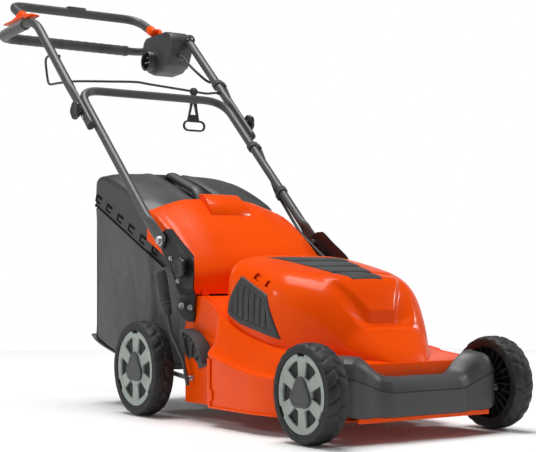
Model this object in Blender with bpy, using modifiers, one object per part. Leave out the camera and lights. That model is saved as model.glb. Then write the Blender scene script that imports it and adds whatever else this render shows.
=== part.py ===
"""Walk-behind electric lawn mower with a grass collector and a folding handle.

Metres, +Z up. The front of the mower points to -Y and its right side to -X. Places are given
from the point on the ground under the front axle, and an empty at the root moves the whole
mower so that its origin is the centre of its box, on the ground.
"""
import math

import bmesh
import bpy
from mathutils import Matrix, Vector

for item in list(bpy.data.objects):
    bpy.data.objects.remove(item, do_unlink=True)

# Clearances
SEAT_GAP = 0.0004        # between two faces that touch
RUN_GAP = 0.0005         # around a shaft or a pin that turns
BOTH_SIDES = ((-1, "right"), (1, "left"))

# Wheels
FRONT_WHEEL_RADIUS = 0.088
REAR_WHEEL_RADIUS = 0.100
WHEEL_WIDTH = 0.0445
WHEELBASE = 0.618
WHEEL_HUB_RADIUS = 0.016
WHEEL_WEB = 0.004
WHEEL_STEPS = 32
COVER_THICKNESS = 0.006
COVER_INSET = 0.002
COVER_RIM_SHARE = 0.80
SPOKES = 6
CAP_HEIGHT = 0.005
CAP_SHARE = 0.25

# Swinging wheel carriers and the height lever
AXLE_ROD_RADIUS = 0.005
AXLE_BEND = 0.006
REAR_ARM_LENGTH = 0.1488
REAR_ARM_ANGLE = math.radians(5.8)
FRONT_ARM_LENGTH = 0.042
FRONT_ARM_ANGLE = math.radians(8.9)
LINK_X = -0.10
LINK_RADIUS = 0.003
LINK_SLACK = 0.0024
REAR_CRANK = 0.041
FRONT_CRANK = 0.011
CRANK_THICKNESS = 0.004
LEVER_RADIUS = 0.004
LEVER_ANGLE = math.radians(70)
GRIP_START = 0.137
GRIP_LENGTH = 0.098
GRIP_RADIUS = 0.013
GUARD_RADIUS = 0.0895
GUARD_BAND = 0.006
GUARD_HOLLOW = 0.030
GUARD_WEB = 0.0025

# Deck
DECK_WALL = 0.0025
DECK_HALF_WIDTH = 0.207
DECK_NARROW = 0.170
DECK_WAIST = 0.163       # beside the front wheels
DECK_REAR_HALF = 0.176
DECK_FRONT_Y = -0.022
DECK_REAR_Y = 0.500
SKIRT_BOTTOM = 0.036
MOUTH_HALF_WIDTH = 0.135
MOUTH_LOW = 0.100
MOUTH_HIGH = 0.232
LIP_FRONT_Y = -0.052
LIP_HALF_WIDTH = 0.150
# The top of the deck, as height over distance from the front axle
DECK_TOP = ((-0.015, 0.134), (0.014, 0.138), (0.050, 0.142), (0.100, 0.148), (0.118, 0.150),
            (0.200, 0.164), (0.290, 0.184), (0.362, 0.215), (0.373, 0.221), (0.430, 0.249),
            (0.4965, 0.252))

# Hood
HOOD_WALL = 0.003
HOOD_HALF_WIDTH = 0.166
HOOD_FRONT_Y = -0.013
HOOD_NOSE_HALF = 0.030
HOOD_NOSE_POWER = 1.35
HOOD_FULL_Y = 0.200
HOOD_REAR_Y = 0.402
HOOD_SKIRT = 0.004       # depth of the skin that the deck's top trims off
# The hood's crown on the centre line
HOOD_CROWN = ((-0.010, 0.142), (0.000, 0.153), (0.014, 0.167), (0.030, 0.181), (0.050, 0.199),
              (0.070, 0.225), (0.090, 0.256), (0.106, 0.280), (0.118, 0.290), (0.160, 0.298),
              (0.200, 0.306), (0.245, 0.316), (0.290, 0.325), (0.330, 0.331), (0.362, 0.334),
              (0.373, 0.333), (0.392, 0.326))
GRILLE_FRONT_Y = 0.112
GRILLE_REAR_Y = 0.325
GRILLE_FRONT_HALF = 0.036
GRILLE_REAR_HALF = 0.088
VENT_OUTLINE = ((0.160, 0.163), (0.300, 0.196), (0.358, 0.221), (0.308, 0.292), (0.212, 0.256))

# Motor, shaft and blade
MOTOR_Y = 0.185
MOTOR_RADIUS = 0.058
MOTOR_FLANGE_RADIUS = 0.068
MOTOR_SEAT_Z = 0.177
MOTOR_HEIGHT = 0.100
SHAFT_RADIUS = 0.008
SHAFT_HOLE_RADIUS = 0.020
ADAPTER_RADIUS = 0.034
ADAPTER_HEIGHT = 0.022
BLADE_LENGTH = 0.346
BLADE_WIDTH = 0.050
BLADE_THICKNESS = 0.003
BLADE_Z = 0.048
BLADE_BOLT_RADIUS = 0.005
BLADE_HEAD_RADIUS = 0.013

# Handle
HANDLE_SLOPE = math.radians(42.5)
FOLD_Y = 0.906
FOLD_Z = 0.680
LOWER_TUBE_RADIUS = 0.010
UPPER_TUBE_RADIUS = 0.011
SLEEVE_HALF_THICKNESS = 0.008
SLEEVE_HALF_HEIGHT = 0.0125
SLEEVE_TOP = 0.094
UPPER_TUBE_END = -0.062
CROSSBAR_AT = 0.088
CROSSBAR_BEND = 0.055
PIVOT_Y = 0.5606
PIVOT_Z = 0.3684
TONGUE_THICKNESS = 0.006
BOLT_RADIUS = 0.004
UPPER_BEND_AT = 0.372
UPPER_LEVEL_Z = 0.944
LOOP_REAR_Y = 1.434
LOOP_BEND = 0.045
GRIP_TUBE_RADIUS = 0.0148
GRIP_FROM_Y = 1.250
GRIP_TO_X = 0.125

# Brackets between the deck and the handle
BRACKET_THICKNESS = 0.003
KNOB_RADIUS = 0.019
KNOB_DEPTH = 0.016
BRACKET_KNOB_Y = 0.470
BRACKET_KNOB_Z = 0.3095

# Switch box and bail
INLET_RADIUS = 0.028
INLET_BORE = 0.022
INLET_DEPTH = 0.026
INLET_Y = 1.283
INLET_Z = 0.886
PIN_RADIUS = 0.003
BAIL_RADIUS = 0.0095
BAIL_PIVOT_Y = 1.330
BAIL_PIVOT_Z = 0.977
BAIL_REAR_Y = 1.427
BAIL_REAR_Z = 1.028
BAIL_BEND = 0.040
BAIL_PIN_RADIUS = 0.003

# Flap and collector
WALL = 0.003
FLAP_HALF_WIDTH = DECK_REAR_HALF - 0.0015
FLAP_ROD_RADIUS = 0.003
FLAP_HINGE_Y = 0.486
FLAP_HINGE_Z = 0.2645
LID_NARROW = DECK_REAR_HALF - 0.008
LID_WIDE = DECK_REAR_HALF - 0.0025
LID_FRONT_Y = DECK_REAR_Y + SEAT_GAP
LID_BEND_Y = 0.590
LID_REAR_Y = 0.938
BAG_REAR_Z = 0.148
BAG_FLOOR_Z = 0.100

# Wire, cable and clips
GUIDE_RADIUS = 0.003
GUIDE_SLOPE = 0.065
CABLE_RADIUS = 0.0035
CLIP_LENGTH = 0.014
CLIP_WALL = 0.003

# What stands beside the deck's rear, outwards from its flank
AXLE_ARM_X = DECK_REAR_HALF + 0.0065
BRACKET_X = DECK_REAR_HALF + 0.017
LOWER_TUBE_X = BRACKET_X + 0.007
UPPER_TUBE_X = LOWER_TUBE_X + 0.0185
GUARD_OUTER_X = DECK_REAR_HALF + 0.029
LEVER_X = GUARD_OUTER_X + 0.003
WHEEL_OUTER_X = DECK_REAR_HALF + 0.058
BOX_INNER_X = UPPER_TUBE_X - 0.0525
BOX_OUTER_X = UPPER_TUBE_X + 0.0215
BAIL_X = UPPER_TUBE_X - 0.0285
BUTTON_X = UPPER_TUBE_X - 0.0265

FRONT_AXLE_Y = (FRONT_WHEEL_RADIUS - LOOP_REAR_Y - GRIP_TUBE_RADIUS) / 2

PARTS = bpy.data.collections.new("lawn_mower")
CUTTERS = bpy.data.collections.new("cutters")
for collection in (PARTS, CUTTERS):
    bpy.context.scene.collection.children.link(collection)

PLACES = {}


def rig(name, place, parent=None):
    """Add an empty that carries moving pieces, at a place in the mower's own axes."""
    empty = bpy.data.objects.new(name, None)
    empty.empty_display_size = 0.03
    PARTS.objects.link(empty)
    PLACES[empty.name] = Vector(place)
    if parent is None:
        empty.location = place
    else:
        empty.parent = parent
        empty.location = Vector(place) - PLACES[parent.name]
    return empty


def attach(obj, carrier):
    """Hang an object, placed in the mower's own axes, on one of the empties."""
    obj.parent = carrier
    obj.location = obj.location - PLACES[carrier.name]
    return obj


def material(name, colour, roughness, metallic=0.0):
    """Return the named Principled material, made on first use."""
    found = bpy.data.materials.get(name)
    if found:
        return found
    made = bpy.data.materials.new(name)
    made.use_nodes = True
    shader = made.node_tree.nodes["Principled BSDF"]
    shader.inputs["Base Color"].default_value = (*colour, 1.0)
    shader.inputs["Roughness"].default_value = roughness
    shader.inputs["Metallic"].default_value = metallic
    return made


def paint(obj, look):
    """Give the object its own copy of a look: colour, roughness and metallic."""
    obj.data.materials.append(material(obj.name + "_material", *look))


ORANGE = ((0.95, 0.13, 0.01), 0.25)
DARK = ((0.035, 0.037, 0.038), 0.55)
GREY = ((0.10, 0.105, 0.105), 0.5)
TUBE_GREY = ((0.09, 0.09, 0.095), 0.4, 0.3)
RUBBER = ((0.02, 0.02, 0.022), 0.8)
PALE = ((0.42, 0.46, 0.41), 0.45)
STEEL = ((0.55, 0.56, 0.58), 0.3, 1.0)
CLOTH = ((0.07, 0.07, 0.07), 0.9)


def add_mesh(name, mesh, carrier, look=None, smooth=30):
    """Add a mesh as a named sub-part, or as a cutter when it has no look."""
    obj = bpy.data.objects.new(name, mesh)
    if look is None:
        CUTTERS.objects.link(obj)
        obj.hide_render = True
        obj.display_type = "WIRE"
    else:
        PARTS.objects.link(obj)
        paint(obj, look)
        mesh.shade_smooth()
        mesh.set_sharp_from_angle(angle=math.radians(smooth))
    return attach(obj, carrier)


def mesh_from(build, name):
    """Run a bmesh builder and return its mesh."""
    work = bmesh.new()
    build(work)
    mesh = bpy.data.meshes.new(name)
    work.to_mesh(mesh)
    work.free()
    return mesh


def box_mesh(name, low, high):
    """A box between two corners."""
    low = Vector(low)
    high = Vector(high)

    def build(work):
        size = Matrix.Diagonal((*(high - low), 1.0))
        bmesh.ops.create_cube(work, size=1.0, matrix=Matrix.Translation((low + high) / 2) @ size)

    return mesh_from(build, name)


def rod_mesh(name, start, end, radius, steps=20):
    """A round bar between two points."""
    start = Vector(start)
    end = Vector(end)
    along = end - start
    turn = along.to_track_quat("Z", "Y").to_matrix().to_4x4()

    def build(work):
        bmesh.ops.create_cone(work, cap_ends=True, segments=steps, radius1=radius, radius2=radius,
                              depth=along.length, matrix=Matrix.Translation((start + end) / 2) @ turn)

    return mesh_from(build, name)


def settle_curve(curve, name):
    """Turn a curve into a welded mesh."""
    holder = bpy.data.objects.new(name, curve)
    bpy.context.scene.collection.objects.link(holder)
    evaluated = holder.evaluated_get(bpy.context.evaluated_depsgraph_get())
    mesh = bpy.data.meshes.new_from_object(evaluated)
    bpy.data.objects.remove(holder, do_unlink=True)
    work = bmesh.new()
    work.from_mesh(mesh)
    bmesh.ops.remove_doubles(work, verts=work.verts, dist=0.00001)
    bmesh.ops.recalc_face_normals(work, faces=work.faces)
    work.to_mesh(mesh)
    work.free()
    mesh.name = name
    return mesh


def tube_mesh(name, points, radius, sides=3):
    """A round tube along points, with closed ends."""
    curve = bpy.data.curves.new(name, "CURVE")
    curve.dimensions = "3D"
    curve.bevel_depth = radius
    curve.bevel_resolution = sides
    curve.use_fill_caps = True
    spline = curve.splines.new("POLY")
    spline.points.add(len(points) - 1)
    for knot, point in zip(spline.points, points):
        knot.co = (*point, 1.0)
    return settle_curve(curve, name)


# Maps an outline's plane to the mower's axes, with the thickness along the third axis
ACROSS = Matrix(((0, 0, 1, 0), (1, 0, 0, 0), (0, 1, 0, 0), (0, 0, 0, 1)))
FACING_FRONT = Matrix(((1, 0, 0, 0), (0, 0, -1, 0), (0, 1, 0, 0), (0, 0, 0, 1)))


def plate_mesh(name, outlines, thickness, centre, frame=ACROSS):
    """A flat plate from an outline and its holes, centred at a place across its thickness."""
    curve = bpy.data.curves.new(name, "CURVE")
    curve.dimensions = "2D"
    curve.fill_mode = "BOTH"
    curve.extrude = thickness / 2
    for outline in outlines:
        spline = curve.splines.new("POLY")
        spline.points.add(len(outline) - 1)
        for knot, point in zip(spline.points, outline):
            knot.co = (point[0], point[1], 0.0, 1.0)
        spline.use_cyclic_u = True
    mesh = settle_curve(curve, name)
    mesh.transform(Matrix.Translation(centre) @ frame)
    return mesh


def turned(name, profile, carrier, place, look, axis=(0, 0, 1), steps=24, closed=False):
    """A turned piece: profile of (radius, height), down its outer side, about an axis."""
    mesh = bpy.data.meshes.new(name)
    edges = [(i, i + 1) for i in range(len(profile) - 1)]
    if closed:
        edges.append((len(profile) - 1, 0))
    mesh.from_pydata([(radius, 0.0, height) for radius, height in profile], edges, [])
    obj = bpy.data.objects.new(name, mesh)
    screw = obj.modifiers.new("Turn", "SCREW")
    screw.steps = steps
    screw.render_steps = steps
    screw.use_merge_vertices = True
    screw.merge_threshold = 0.00001
    PARTS.objects.link(obj)
    paint(obj, look)
    obj.rotation_euler = Vector(axis).to_track_quat("Z", "Y").to_euler()
    obj.location = place
    return attach(obj, carrier)


def skin_mesh(name, rows, inside):
    """An open surface through rows of points, with its faces pointing away from a point inside."""
    mesh = bpy.data.meshes.new(name)
    width = len(rows[0])
    verts = [point for row in rows for point in row]
    faces = []
    for r in range(len(rows) - 1):
        for c in range(width - 1):
            first = r * width + c
            faces.append((first, first + 1, first + width + 1, first + width))
    mesh.from_pydata(verts, [], faces)
    work = bmesh.new()
    work.from_mesh(mesh)
    bmesh.ops.remove_doubles(work, verts=work.verts, dist=0.00001)
    bmesh.ops.recalc_face_normals(work, faces=work.faces)
    inside = Vector(inside)
    outward = sum((face.calc_center_median() - inside).dot(face.normal) * face.calc_area()
                  for face in work.faces)
    if outward < 0:
        bmesh.ops.reverse_faces(work, faces=work.faces)
    work.to_mesh(mesh)
    work.free()
    return mesh


def thicken(obj, thickness, even=True):
    """Give an open surface its wall, on its inner side."""
    wall = obj.modifiers.new("Wall", "SOLIDIFY")
    wall.thickness = thickness
    wall.use_even_offset = even
    return obj


def combine(obj, operation, name, mesh, carrier):
    """Cut a mesh out of an object, or join it on."""
    tool = add_mesh(name, mesh, carrier)
    step = obj.modifiers.new(name, "BOOLEAN")
    step.operation = operation
    step.object = tool
    return obj


def cut(obj, name, mesh, carrier):
    return combine(obj, "DIFFERENCE", name, mesh, carrier)


def join(obj, name, mesh, carrier):
    return combine(obj, "UNION", name, mesh, carrier)


def arc(centre, radius, start, end, steps):
    """Points on an arc, with its angles in degrees."""
    points = []
    for i in range(steps + 1):
        angle = math.radians(start + (end - start) * i / steps)
        points.append((centre[0] + radius * math.cos(angle), centre[1] + radius * math.sin(angle)))
    return points


def circle(centre, radius, steps=24):
    return arc(centre, radius, 0, 360, steps)[:-1]


def rounded(corners, radius, steps=5):
    """A path through corners, each turned into an arc."""
    corners = [Vector(corner) for corner in corners]
    path = [corners[0]]
    for before, corner, after in zip(corners, corners[1:], corners[2:]):
        back = (before - corner).normalized()
        ahead = (after - corner).normalized()
        half = back.angle(ahead) / 2
        reach = radius / math.tan(half)
        centre = corner + (back + ahead).normalized() * (radius / math.sin(half))
        first = (corner + back * reach - centre).normalized()
        last = (corner + ahead * reach - centre).normalized()
        for i in range(steps + 1):
            path.append(centre + first.slerp(last, i / steps) * radius)
    path.append(corners[-1])
    return path


def smooth_path(knots, steps):
    """A smooth curve through the knots."""
    knots = [Vector(knot) for knot in knots]
    ends = [knots[0] * 2 - knots[1]] + knots + [knots[-1] * 2 - knots[-2]]
    path = []
    for a, b, c, d in zip(ends, ends[1:], ends[2:], ends[3:]):
        for i in range(steps):
            t = i / steps
            path.append(0.5 * (2 * b + (c - a) * t + (2 * a - 5 * b + 4 * c - d) * t ** 2
                               + (3 * b - a - 3 * c + d) * t ** 3))
    path.append(knots[-1])
    return path


def between(table, y):
    """Read a table of (y, value) in straight lines."""
    if y <= table[0][0]:
        return table[0][1]
    for (y0, v0), (y1, v1) in zip(table, table[1:]):
        if y <= y1:
            return v0 + (v1 - v0) * (y - y0) / (y1 - y0)
    return table[-1][1]


def mirrored(half):
    """A row from its right half, which starts on the centre line."""
    return [(-x, y, z) for x, y, z in reversed(half[1:])] + list(half)


mower = rig("mower", (0, 0, 0))
mower.location = (0, FRONT_AXLE_Y, 0)

REAR_PIVOT = Vector((0, WHEELBASE - REAR_ARM_LENGTH * math.cos(REAR_ARM_ANGLE),
                     REAR_WHEEL_RADIUS - REAR_ARM_LENGTH * math.sin(REAR_ARM_ANGLE)))
FRONT_PIVOT = Vector((0, -FRONT_ARM_LENGTH * math.cos(FRONT_ARM_ANGLE),
                      FRONT_WHEEL_RADIUS - FRONT_ARM_LENGTH * math.sin(FRONT_ARM_ANGLE)))
HANDLE_ALONG = Vector((0, math.cos(HANDLE_SLOPE), math.sin(HANDLE_SLOPE)))
HANDLE_OUT = Vector((0, -math.sin(HANDLE_SLOPE), math.cos(HANDLE_SLOPE)))
FOLD = Vector((0, FOLD_Y, FOLD_Z))

rear_carrier = rig("rear_carrier_pivot", REAR_PIVOT, mower)
front_carrier = rig("front_carrier_pivot", FRONT_PIVOT, mower)
lower_hinge = rig("lower_handle_pivot", (0, PIVOT_Y, PIVOT_Z), mower)
upper_hinge = rig("upper_handle_pivot", FOLD, lower_hinge)
flap_hinge = rig("flap_pivot", (0, FLAP_HINGE_Y, FLAP_HINGE_Z), mower)
collector = rig("collector_seat", (0, LID_FRONT_Y, FLAP_HINGE_Z), mower)
blade_spindle = rig("blade_spindle", (0, MOTOR_Y, BLADE_Z), mower)


def on_handle(along, x, out=0.0):
    """A place beside the handle's centre line, measured from its fold."""
    return FOLD + HANDLE_ALONG * along + HANDLE_OUT * out + Vector((x, 0, 0))


def deck():
    """Open-bottomed deck: skirt, ledge, shoulder and top, with its rear mouth."""
    plan = ((0, DECK_FRONT_Y), (0.100, DECK_FRONT_Y), (0.152, -0.012), (DECK_NARROW - 0.002, 0.012),
            (DECK_WAIST + 0.003, 0.050), (DECK_WAIST, 0.104), (DECK_HALF_WIDTH - 0.009, 0.130),
            (DECK_HALF_WIDTH, 0.200), (DECK_HALF_WIDTH, 0.290), (DECK_HALF_WIDTH - 0.002, 0.362),
            (DECK_REAR_HALF, 0.373), (DECK_REAR_HALF, 0.430), (DECK_REAR_HALF, DECK_REAR_Y),
            (0, DECK_REAR_Y))
    top_inset = 0.0025
    plateau = []
    for (x, y), (top_y, _) in zip(plan, ((DECK_TOP[0]), (DECK_TOP[0]), (-0.006, 0), *DECK_TOP[1:],
                                         DECK_TOP[-1])):
        plateau.append((max(0.0, min(x - top_inset, HOOD_HALF_WIDTH + 0.0075)), top_y))
    ledge = ((-0.022, 0.098), (0.100, 0.102), (0.120, 0.106), (0.200, 0.112), (0.290, 0.128),
             (0.362, 0.145), (0.373, 0.160), (0.500, 0.190))
    levels = ((0.0, 0.0), (0.2, 0.08), (0.55, 0.5), (1.0, 1.0))
    rings = [[(x, y, SKIRT_BOTTOM) for x, y in plan]]
    for across, up in levels:
        ring = []
        for (x, y), (top_x, top_y) in zip(plan, plateau):
            low = between(ledge, y)
            high = between(DECK_TOP, top_y)
            ring.append((x + (top_x - x) * across, y + (top_y - y) * across, low + (high - low) * up))
        rings.append(ring)
    verts = []
    index = {}

    def vertex(point):
        if point not in index:
            index[point] = len(verts)
            verts.append(point)
        return index[point]

    def flip(point):
        return (-point[0] if point[0] else 0, point[1], point[2])

    faces = []
    for lower, upper in zip(rings, rings[1:]):
        for a, b, c, d in zip(lower, lower[1:], upper[1:], upper):
            faces.append([vertex(p) for p in (a, b, c, d)])
            faces.append([vertex(flip(p)) for p in (d, c, b, a)])
    top = rings[-1]
    for a, b in zip(top[1:-1], top[2:-1]):
        faces.append([vertex(p) for p in (flip(a), flip(b), b, a)])
    front_mid, rear_mid = top[0], top[-1]
    faces.append([vertex(p) for p in (front_mid, flip(top[1]), top[1])])
    faces.append([vertex(p) for p in (rear_mid, top[-2], flip(top[-2]))])
    mesh = bpy.data.meshes.new("deck")
    mesh.from_pydata(verts, [], faces)
    work = bmesh.new()
    work.from_mesh(mesh)
    bmesh.ops.dissolve_degenerate(work, edges=work.edges, dist=0.00001)
    bmesh.ops.recalc_face_normals(work, faces=work.faces)
    if sum(face.normal.z * face.calc_area() for face in work.faces) < 0:
        bmesh.ops.reverse_faces(work, faces=work.faces)
    work.to_mesh(mesh)
    work.free()
    obj = add_mesh("deck", mesh, mower, ORANGE, smooth=35)
    thicken(obj, DECK_WALL)
    lip = box_mesh("deck_lip", (-LIP_HALF_WIDTH, LIP_FRONT_Y, SKIRT_BOTTOM + 0.003),
                   (LIP_HALF_WIDTH, DECK_FRONT_Y + DECK_WALL / 2, SKIRT_BOTTOM + 0.007))
    join(obj, "deck_lip", lip, mower)
    mouth = box_mesh("deck_mouth", (-MOUTH_HALF_WIDTH, DECK_REAR_Y - 0.02, MOUTH_LOW),
                     (MOUTH_HALF_WIDTH, DECK_REAR_Y + 0.02, MOUTH_HIGH))
    cut(obj, "deck_mouth", mouth, mower)
    rod_hole = rod_mesh("axle_hole", REAR_PIVOT + Vector((-0.2, 0, 0)), REAR_PIVOT + Vector((0.2, 0, 0)),
                        AXLE_ROD_RADIUS + RUN_GAP)
    cut(obj, "axle_hole", rod_hole, mower)
    seat_rim = rod_mesh("motor_seat", (0, MOTOR_Y, MOTOR_SEAT_Z - 0.024), (0, MOTOR_Y, MOTOR_SEAT_Z),
                        MOTOR_FLANGE_RADIUS + 0.003, 36)
    join(obj, "motor_seat", seat_rim, mower)
    seat_well = rod_mesh("motor_well", (0, MOTOR_Y, MOTOR_SEAT_Z - 0.060),
                         (0, MOTOR_Y, MOTOR_SEAT_Z - DECK_WALL), MOTOR_FLANGE_RADIUS + 0.0005, 36)
    cut(obj, "motor_well", seat_well, mower)
    shaft_hole = rod_mesh("shaft_hole", (0, MOTOR_Y, 0.12), (0, MOTOR_Y, 0.20), SHAFT_HOLE_RADIUS)
    cut(obj, "shaft_hole", shaft_hole, mower)
    link_slot = box_mesh("link_slot", (LINK_X - 0.002, DECK_FRONT_Y - 0.01, 0.084),
                         (LINK_X + 0.015, DECK_FRONT_Y + 0.01, 0.104))
    cut(obj, "link_slot", link_slot, mower)
    for side, label in BOTH_SIDES:
        holes = rod_mesh("bracket_hole", (side * (DECK_REAR_HALF - 0.016), 0.488, 0.228),
                         (side * (DECK_REAR_HALF + 0.024), 0.488, 0.228), 0.0045)
        cut(obj, "bracket_hole_" + label, holes, mower)
    return obj


def hood_half_width(y):
    """Half the hood's width at its base: a rounded nose, then parallel sides."""
    share = min(1.0, max(0.0, (y - HOOD_FRONT_Y) / (HOOD_FULL_Y - HOOD_FRONT_Y)))
    swell = (1 - (1 - share) ** HOOD_NOSE_POWER) ** (1 / HOOD_NOSE_POWER)
    return HOOD_NOSE_HALF + (HOOD_HALF_WIDTH - HOOD_NOSE_HALF) * swell


def hood_row(y, columns):
    """One section of the hood, from its crown to its base."""
    half = hood_half_width(y)
    base = between(DECK_TOP, y) - HOOD_SKIRT
    top = between(HOOD_CROWN, y)
    share = min(1.0, (y - HOOD_FRONT_Y) / (HOOD_FULL_Y - HOOD_FRONT_Y))
    power = 2.3 + 2.4 * share
    row = []
    for i in range(columns + 1):
        angle = math.pi / 2 * i / columns
        row.append((half * math.sin(angle) ** (2 / power), y,
                    base + (top - base) * math.cos(angle) ** (2 / power)))
    return row


def hood():
    """Motor hood: a dome that stands on the deck, open below, with its grille and vent openings."""
    columns = 9
    stations = sorted({y for y, _ in HOOD_CROWN} | {y for y, _ in DECK_TOP if -0.01 < y < HOOD_REAR_Y})
    rows = [mirrored(hood_row(y, columns)) for y in stations]
    front_base = [(x * 0.86, y - 0.005, between(DECK_TOP, y) - HOOD_SKIRT) for x, y, _ in rows[0]]
    rear_base = between(DECK_TOP, HOOD_REAR_Y) - HOOD_SKIRT
    rear_top = [(x * 0.985, HOOD_REAR_Y - 0.002, rear_base + (z - rear_base) * 0.93) for x, y, z in rows[-1]]
    rear_foot = [(x * 0.985, HOOD_REAR_Y, rear_base) for x, y, z in rows[-1]]
    mesh = skin_mesh("hood", [front_base] + rows + [rear_top, rear_foot], (0, 0.2, 0.2))
    obj = add_mesh("hood", mesh, mower, ORANGE, smooth=40)
    thicken(obj, HOOD_WALL, even=False)
    ground = [(y, z + SEAT_GAP) for y, z in DECK_TOP]
    ground = [(-0.060, ground[0][1]), *ground, (DECK_REAR_Y, 0.05), (-0.060, 0.05)]
    cut(obj, "hood_foot", plate_mesh("hood_foot", [ground], 0.40, (0, 0, 0)), mower)
    opening = [(x, y) for x, y in grille_outline(0.0)]
    cut(obj, "grille_opening", plate_mesh("grille_opening", [opening], 0.16, (0, 0, 0.32), Matrix()), mower)
    gland = rod_mesh("cable_gland", CABLE_END, CABLE_END + 2 * CABLE_ENTRY, CABLE_RADIUS + RUN_GAP, 16)
    cut(obj, "cable_gland", gland, mower)
    for side, label in BOTH_SIDES:
        hole = plate_mesh("vent_opening", [VENT_OUTLINE], 0.05, (side * HOOD_HALF_WIDTH, 0, 0))
        cut(obj, "vent_opening_" + label, hole, mower)
    return obj


def grille_outline(clearance):
    """Grille seen from above: wider at its rear."""
    front = GRILLE_FRONT_HALF - clearance
    rear = GRILLE_REAR_HALF - clearance
    low = GRILLE_FRONT_Y + clearance
    high = GRILLE_REAR_Y - clearance
    return ((-front, low), (front, low), (rear, high), (-rear, high))


def hood_grille():
    """Air grille that plugs the opening in the crown, one step per louvre."""
    steps = 4
    span = GRILLE_REAR_Y - GRILLE_FRONT_Y - 2 * SEAT_GAP
    outline = []
    start = GRILLE_FRONT_Y + SEAT_GAP
    for i in range(steps):
        y0 = start + span * i / steps
        y1 = start + span * (i + 1) / steps
        outline.append((y0, between(HOOD_CROWN, y0) + 0.0005))
        outline.append((y1, between(HOOD_CROWN, y1) - 0.0005))
    under = [(y, z - 0.007) for y, z in (outline[-1], outline[0])]
    mesh = plate_mesh("hood_grille", [outline + under], 2 * GRILLE_REAR_HALF, (0, 0, 0))
    obj = add_mesh("hood_grille", mesh, mower, DARK)
    trim = plate_mesh("grille_trim", [grille_outline(SEAT_GAP)], 0.3, (0, 0, 0.3), Matrix())
    keep = combine(obj, "INTERSECT", "grille_trim", trim, mower)
    return keep


def side_vent(side, label):
    """Side air vent that plugs the hood's flank."""
    centre_y = sum(y for y, _ in VENT_OUTLINE) / len(VENT_OUTLINE)
    centre_z = sum(z for _, z in VENT_OUTLINE) / len(VENT_OUTLINE)
    shrunk = []
    for y, z in VENT_OUTLINE:
        away = Vector((y - centre_y, z - centre_z))
        away *= 1 - 1.6 * SEAT_GAP / away.length * 1.6
        shrunk.append((centre_y + away.x, centre_z + away.y))
    mesh = plate_mesh("side_vent", [shrunk], 0.012, (side * (HOOD_HALF_WIDTH - 0.0055), 0, 0))
    return add_mesh("side_vent_" + label, mesh, mower, DARK)


def front_bumper():
    """Bumper moulding over the front axle rod, open to the rear."""
    plan = ((0, -0.064), (0.074, -0.064), (0.097, -0.060), (0.160, -0.054), (0.1745, -0.044),
            (0.1755, -0.015), (0.1755, 0.020))
    foot = ((0, 0.0436), (0.097, 0.0436), (0.15, 0.0436), (0.1755, 0.050))
    brow = ((0, 0.108), (0.074, 0.108), (0.120, 0.122), (0.1755, 0.144))
    rows = []
    for inward, up in ((0.003, 0.0), (0.0, 0.06), (0.0, 0.45), (0.002, 0.72), (0.006, 0.94), (0.024, 1.06)):
        row = []
        for x, y in plan:
            low = between(foot, x)
            high = between(brow, x)
            rear = min(1.0, max(0.0, (0.02 - y) / 0.06))
            row.append((x * (1 - rear * inward / 0.1755), y + inward * rear, low + (high - low) * up))
        rows.append(mirrored(row))
    mesh = skin_mesh("front_bumper", rows, (0, 0.02, 0.08))
    obj = add_mesh("front_bumper", mesh, mower, DARK, smooth=25)
    thicken(obj, 0.0025)
    hole = rod_mesh("bumper_hole", FRONT_PIVOT + Vector((-0.2, 0, 0)), FRONT_PIVOT + Vector((0.2, 0, 0)),
                    AXLE_ROD_RADIUS + RUN_GAP)
    cut(obj, "bumper_hole", hole, mower)
    return obj


def carrier_rod(name, pivot, wheel_y, wheel_z, crank_length, hole_radius, carrier):
    """Bent axle rod: a pivot bar across, an arm at each side and a stub axle in each wheel."""
    stub = WHEEL_OUTER_X - COVER_INSET - COVER_THICKNESS - 0.003
    corners = [(-stub, wheel_y, wheel_z), (-AXLE_ARM_X, wheel_y, wheel_z),
               (-AXLE_ARM_X, pivot.y, pivot.z), (AXLE_ARM_X, pivot.y, pivot.z),
               (AXLE_ARM_X, wheel_y, wheel_z), (stub, wheel_y, wheel_z)]
    mesh = tube_mesh(name, rounded(corners, AXLE_BEND), AXLE_ROD_RADIUS)
    obj = add_mesh(name, mesh, carrier, STEEL)
    crank_end = (pivot.y, pivot.z + crank_length)
    lobe = hole_radius + 0.0030
    root = AXLE_ROD_RADIUS + 0.0035
    outline = arc((pivot.y, pivot.z), root, 180, 360, 8) + arc(crank_end, lobe, 0, 180, 8)
    crank = plate_mesh(name + "_crank", [outline], CRANK_THICKNESS, (LINK_X, 0, 0))
    join(obj, name + "_crank", crank, carrier)
    eye = rod_mesh(name + "_eye", (LINK_X - 0.01, *crank_end), (LINK_X + 0.01, *crank_end), hole_radius)
    return cut(obj, name + "_eye", eye, carrier)


def link_rod():
    """Rod that carries the rear carrier's swing to the front one."""
    rear_eye = REAR_PIVOT + Vector((LINK_X, 0, REAR_CRANK))
    front_eye = FRONT_PIVOT + Vector((LINK_X, 0, FRONT_CRANK))
    beside = Vector((CRANK_THICKNESS / 2 + LINK_RADIUS + 0.0008, 0, 0))
    through = Vector((-CRANK_THICKNESS / 2 - 0.004, 0, 0))
    seat = rig("link_rod_pivot", rear_eye, rear_carrier)
    corners = [rear_eye + through, rear_eye + beside, front_eye + beside, front_eye + through]
    mesh = tube_mesh("link_rod", rounded(corners, LINK_RADIUS + 0.0006, 4), LINK_RADIUS, 2)
    return add_mesh("link_rod", mesh, seat, STEEL)


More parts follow.
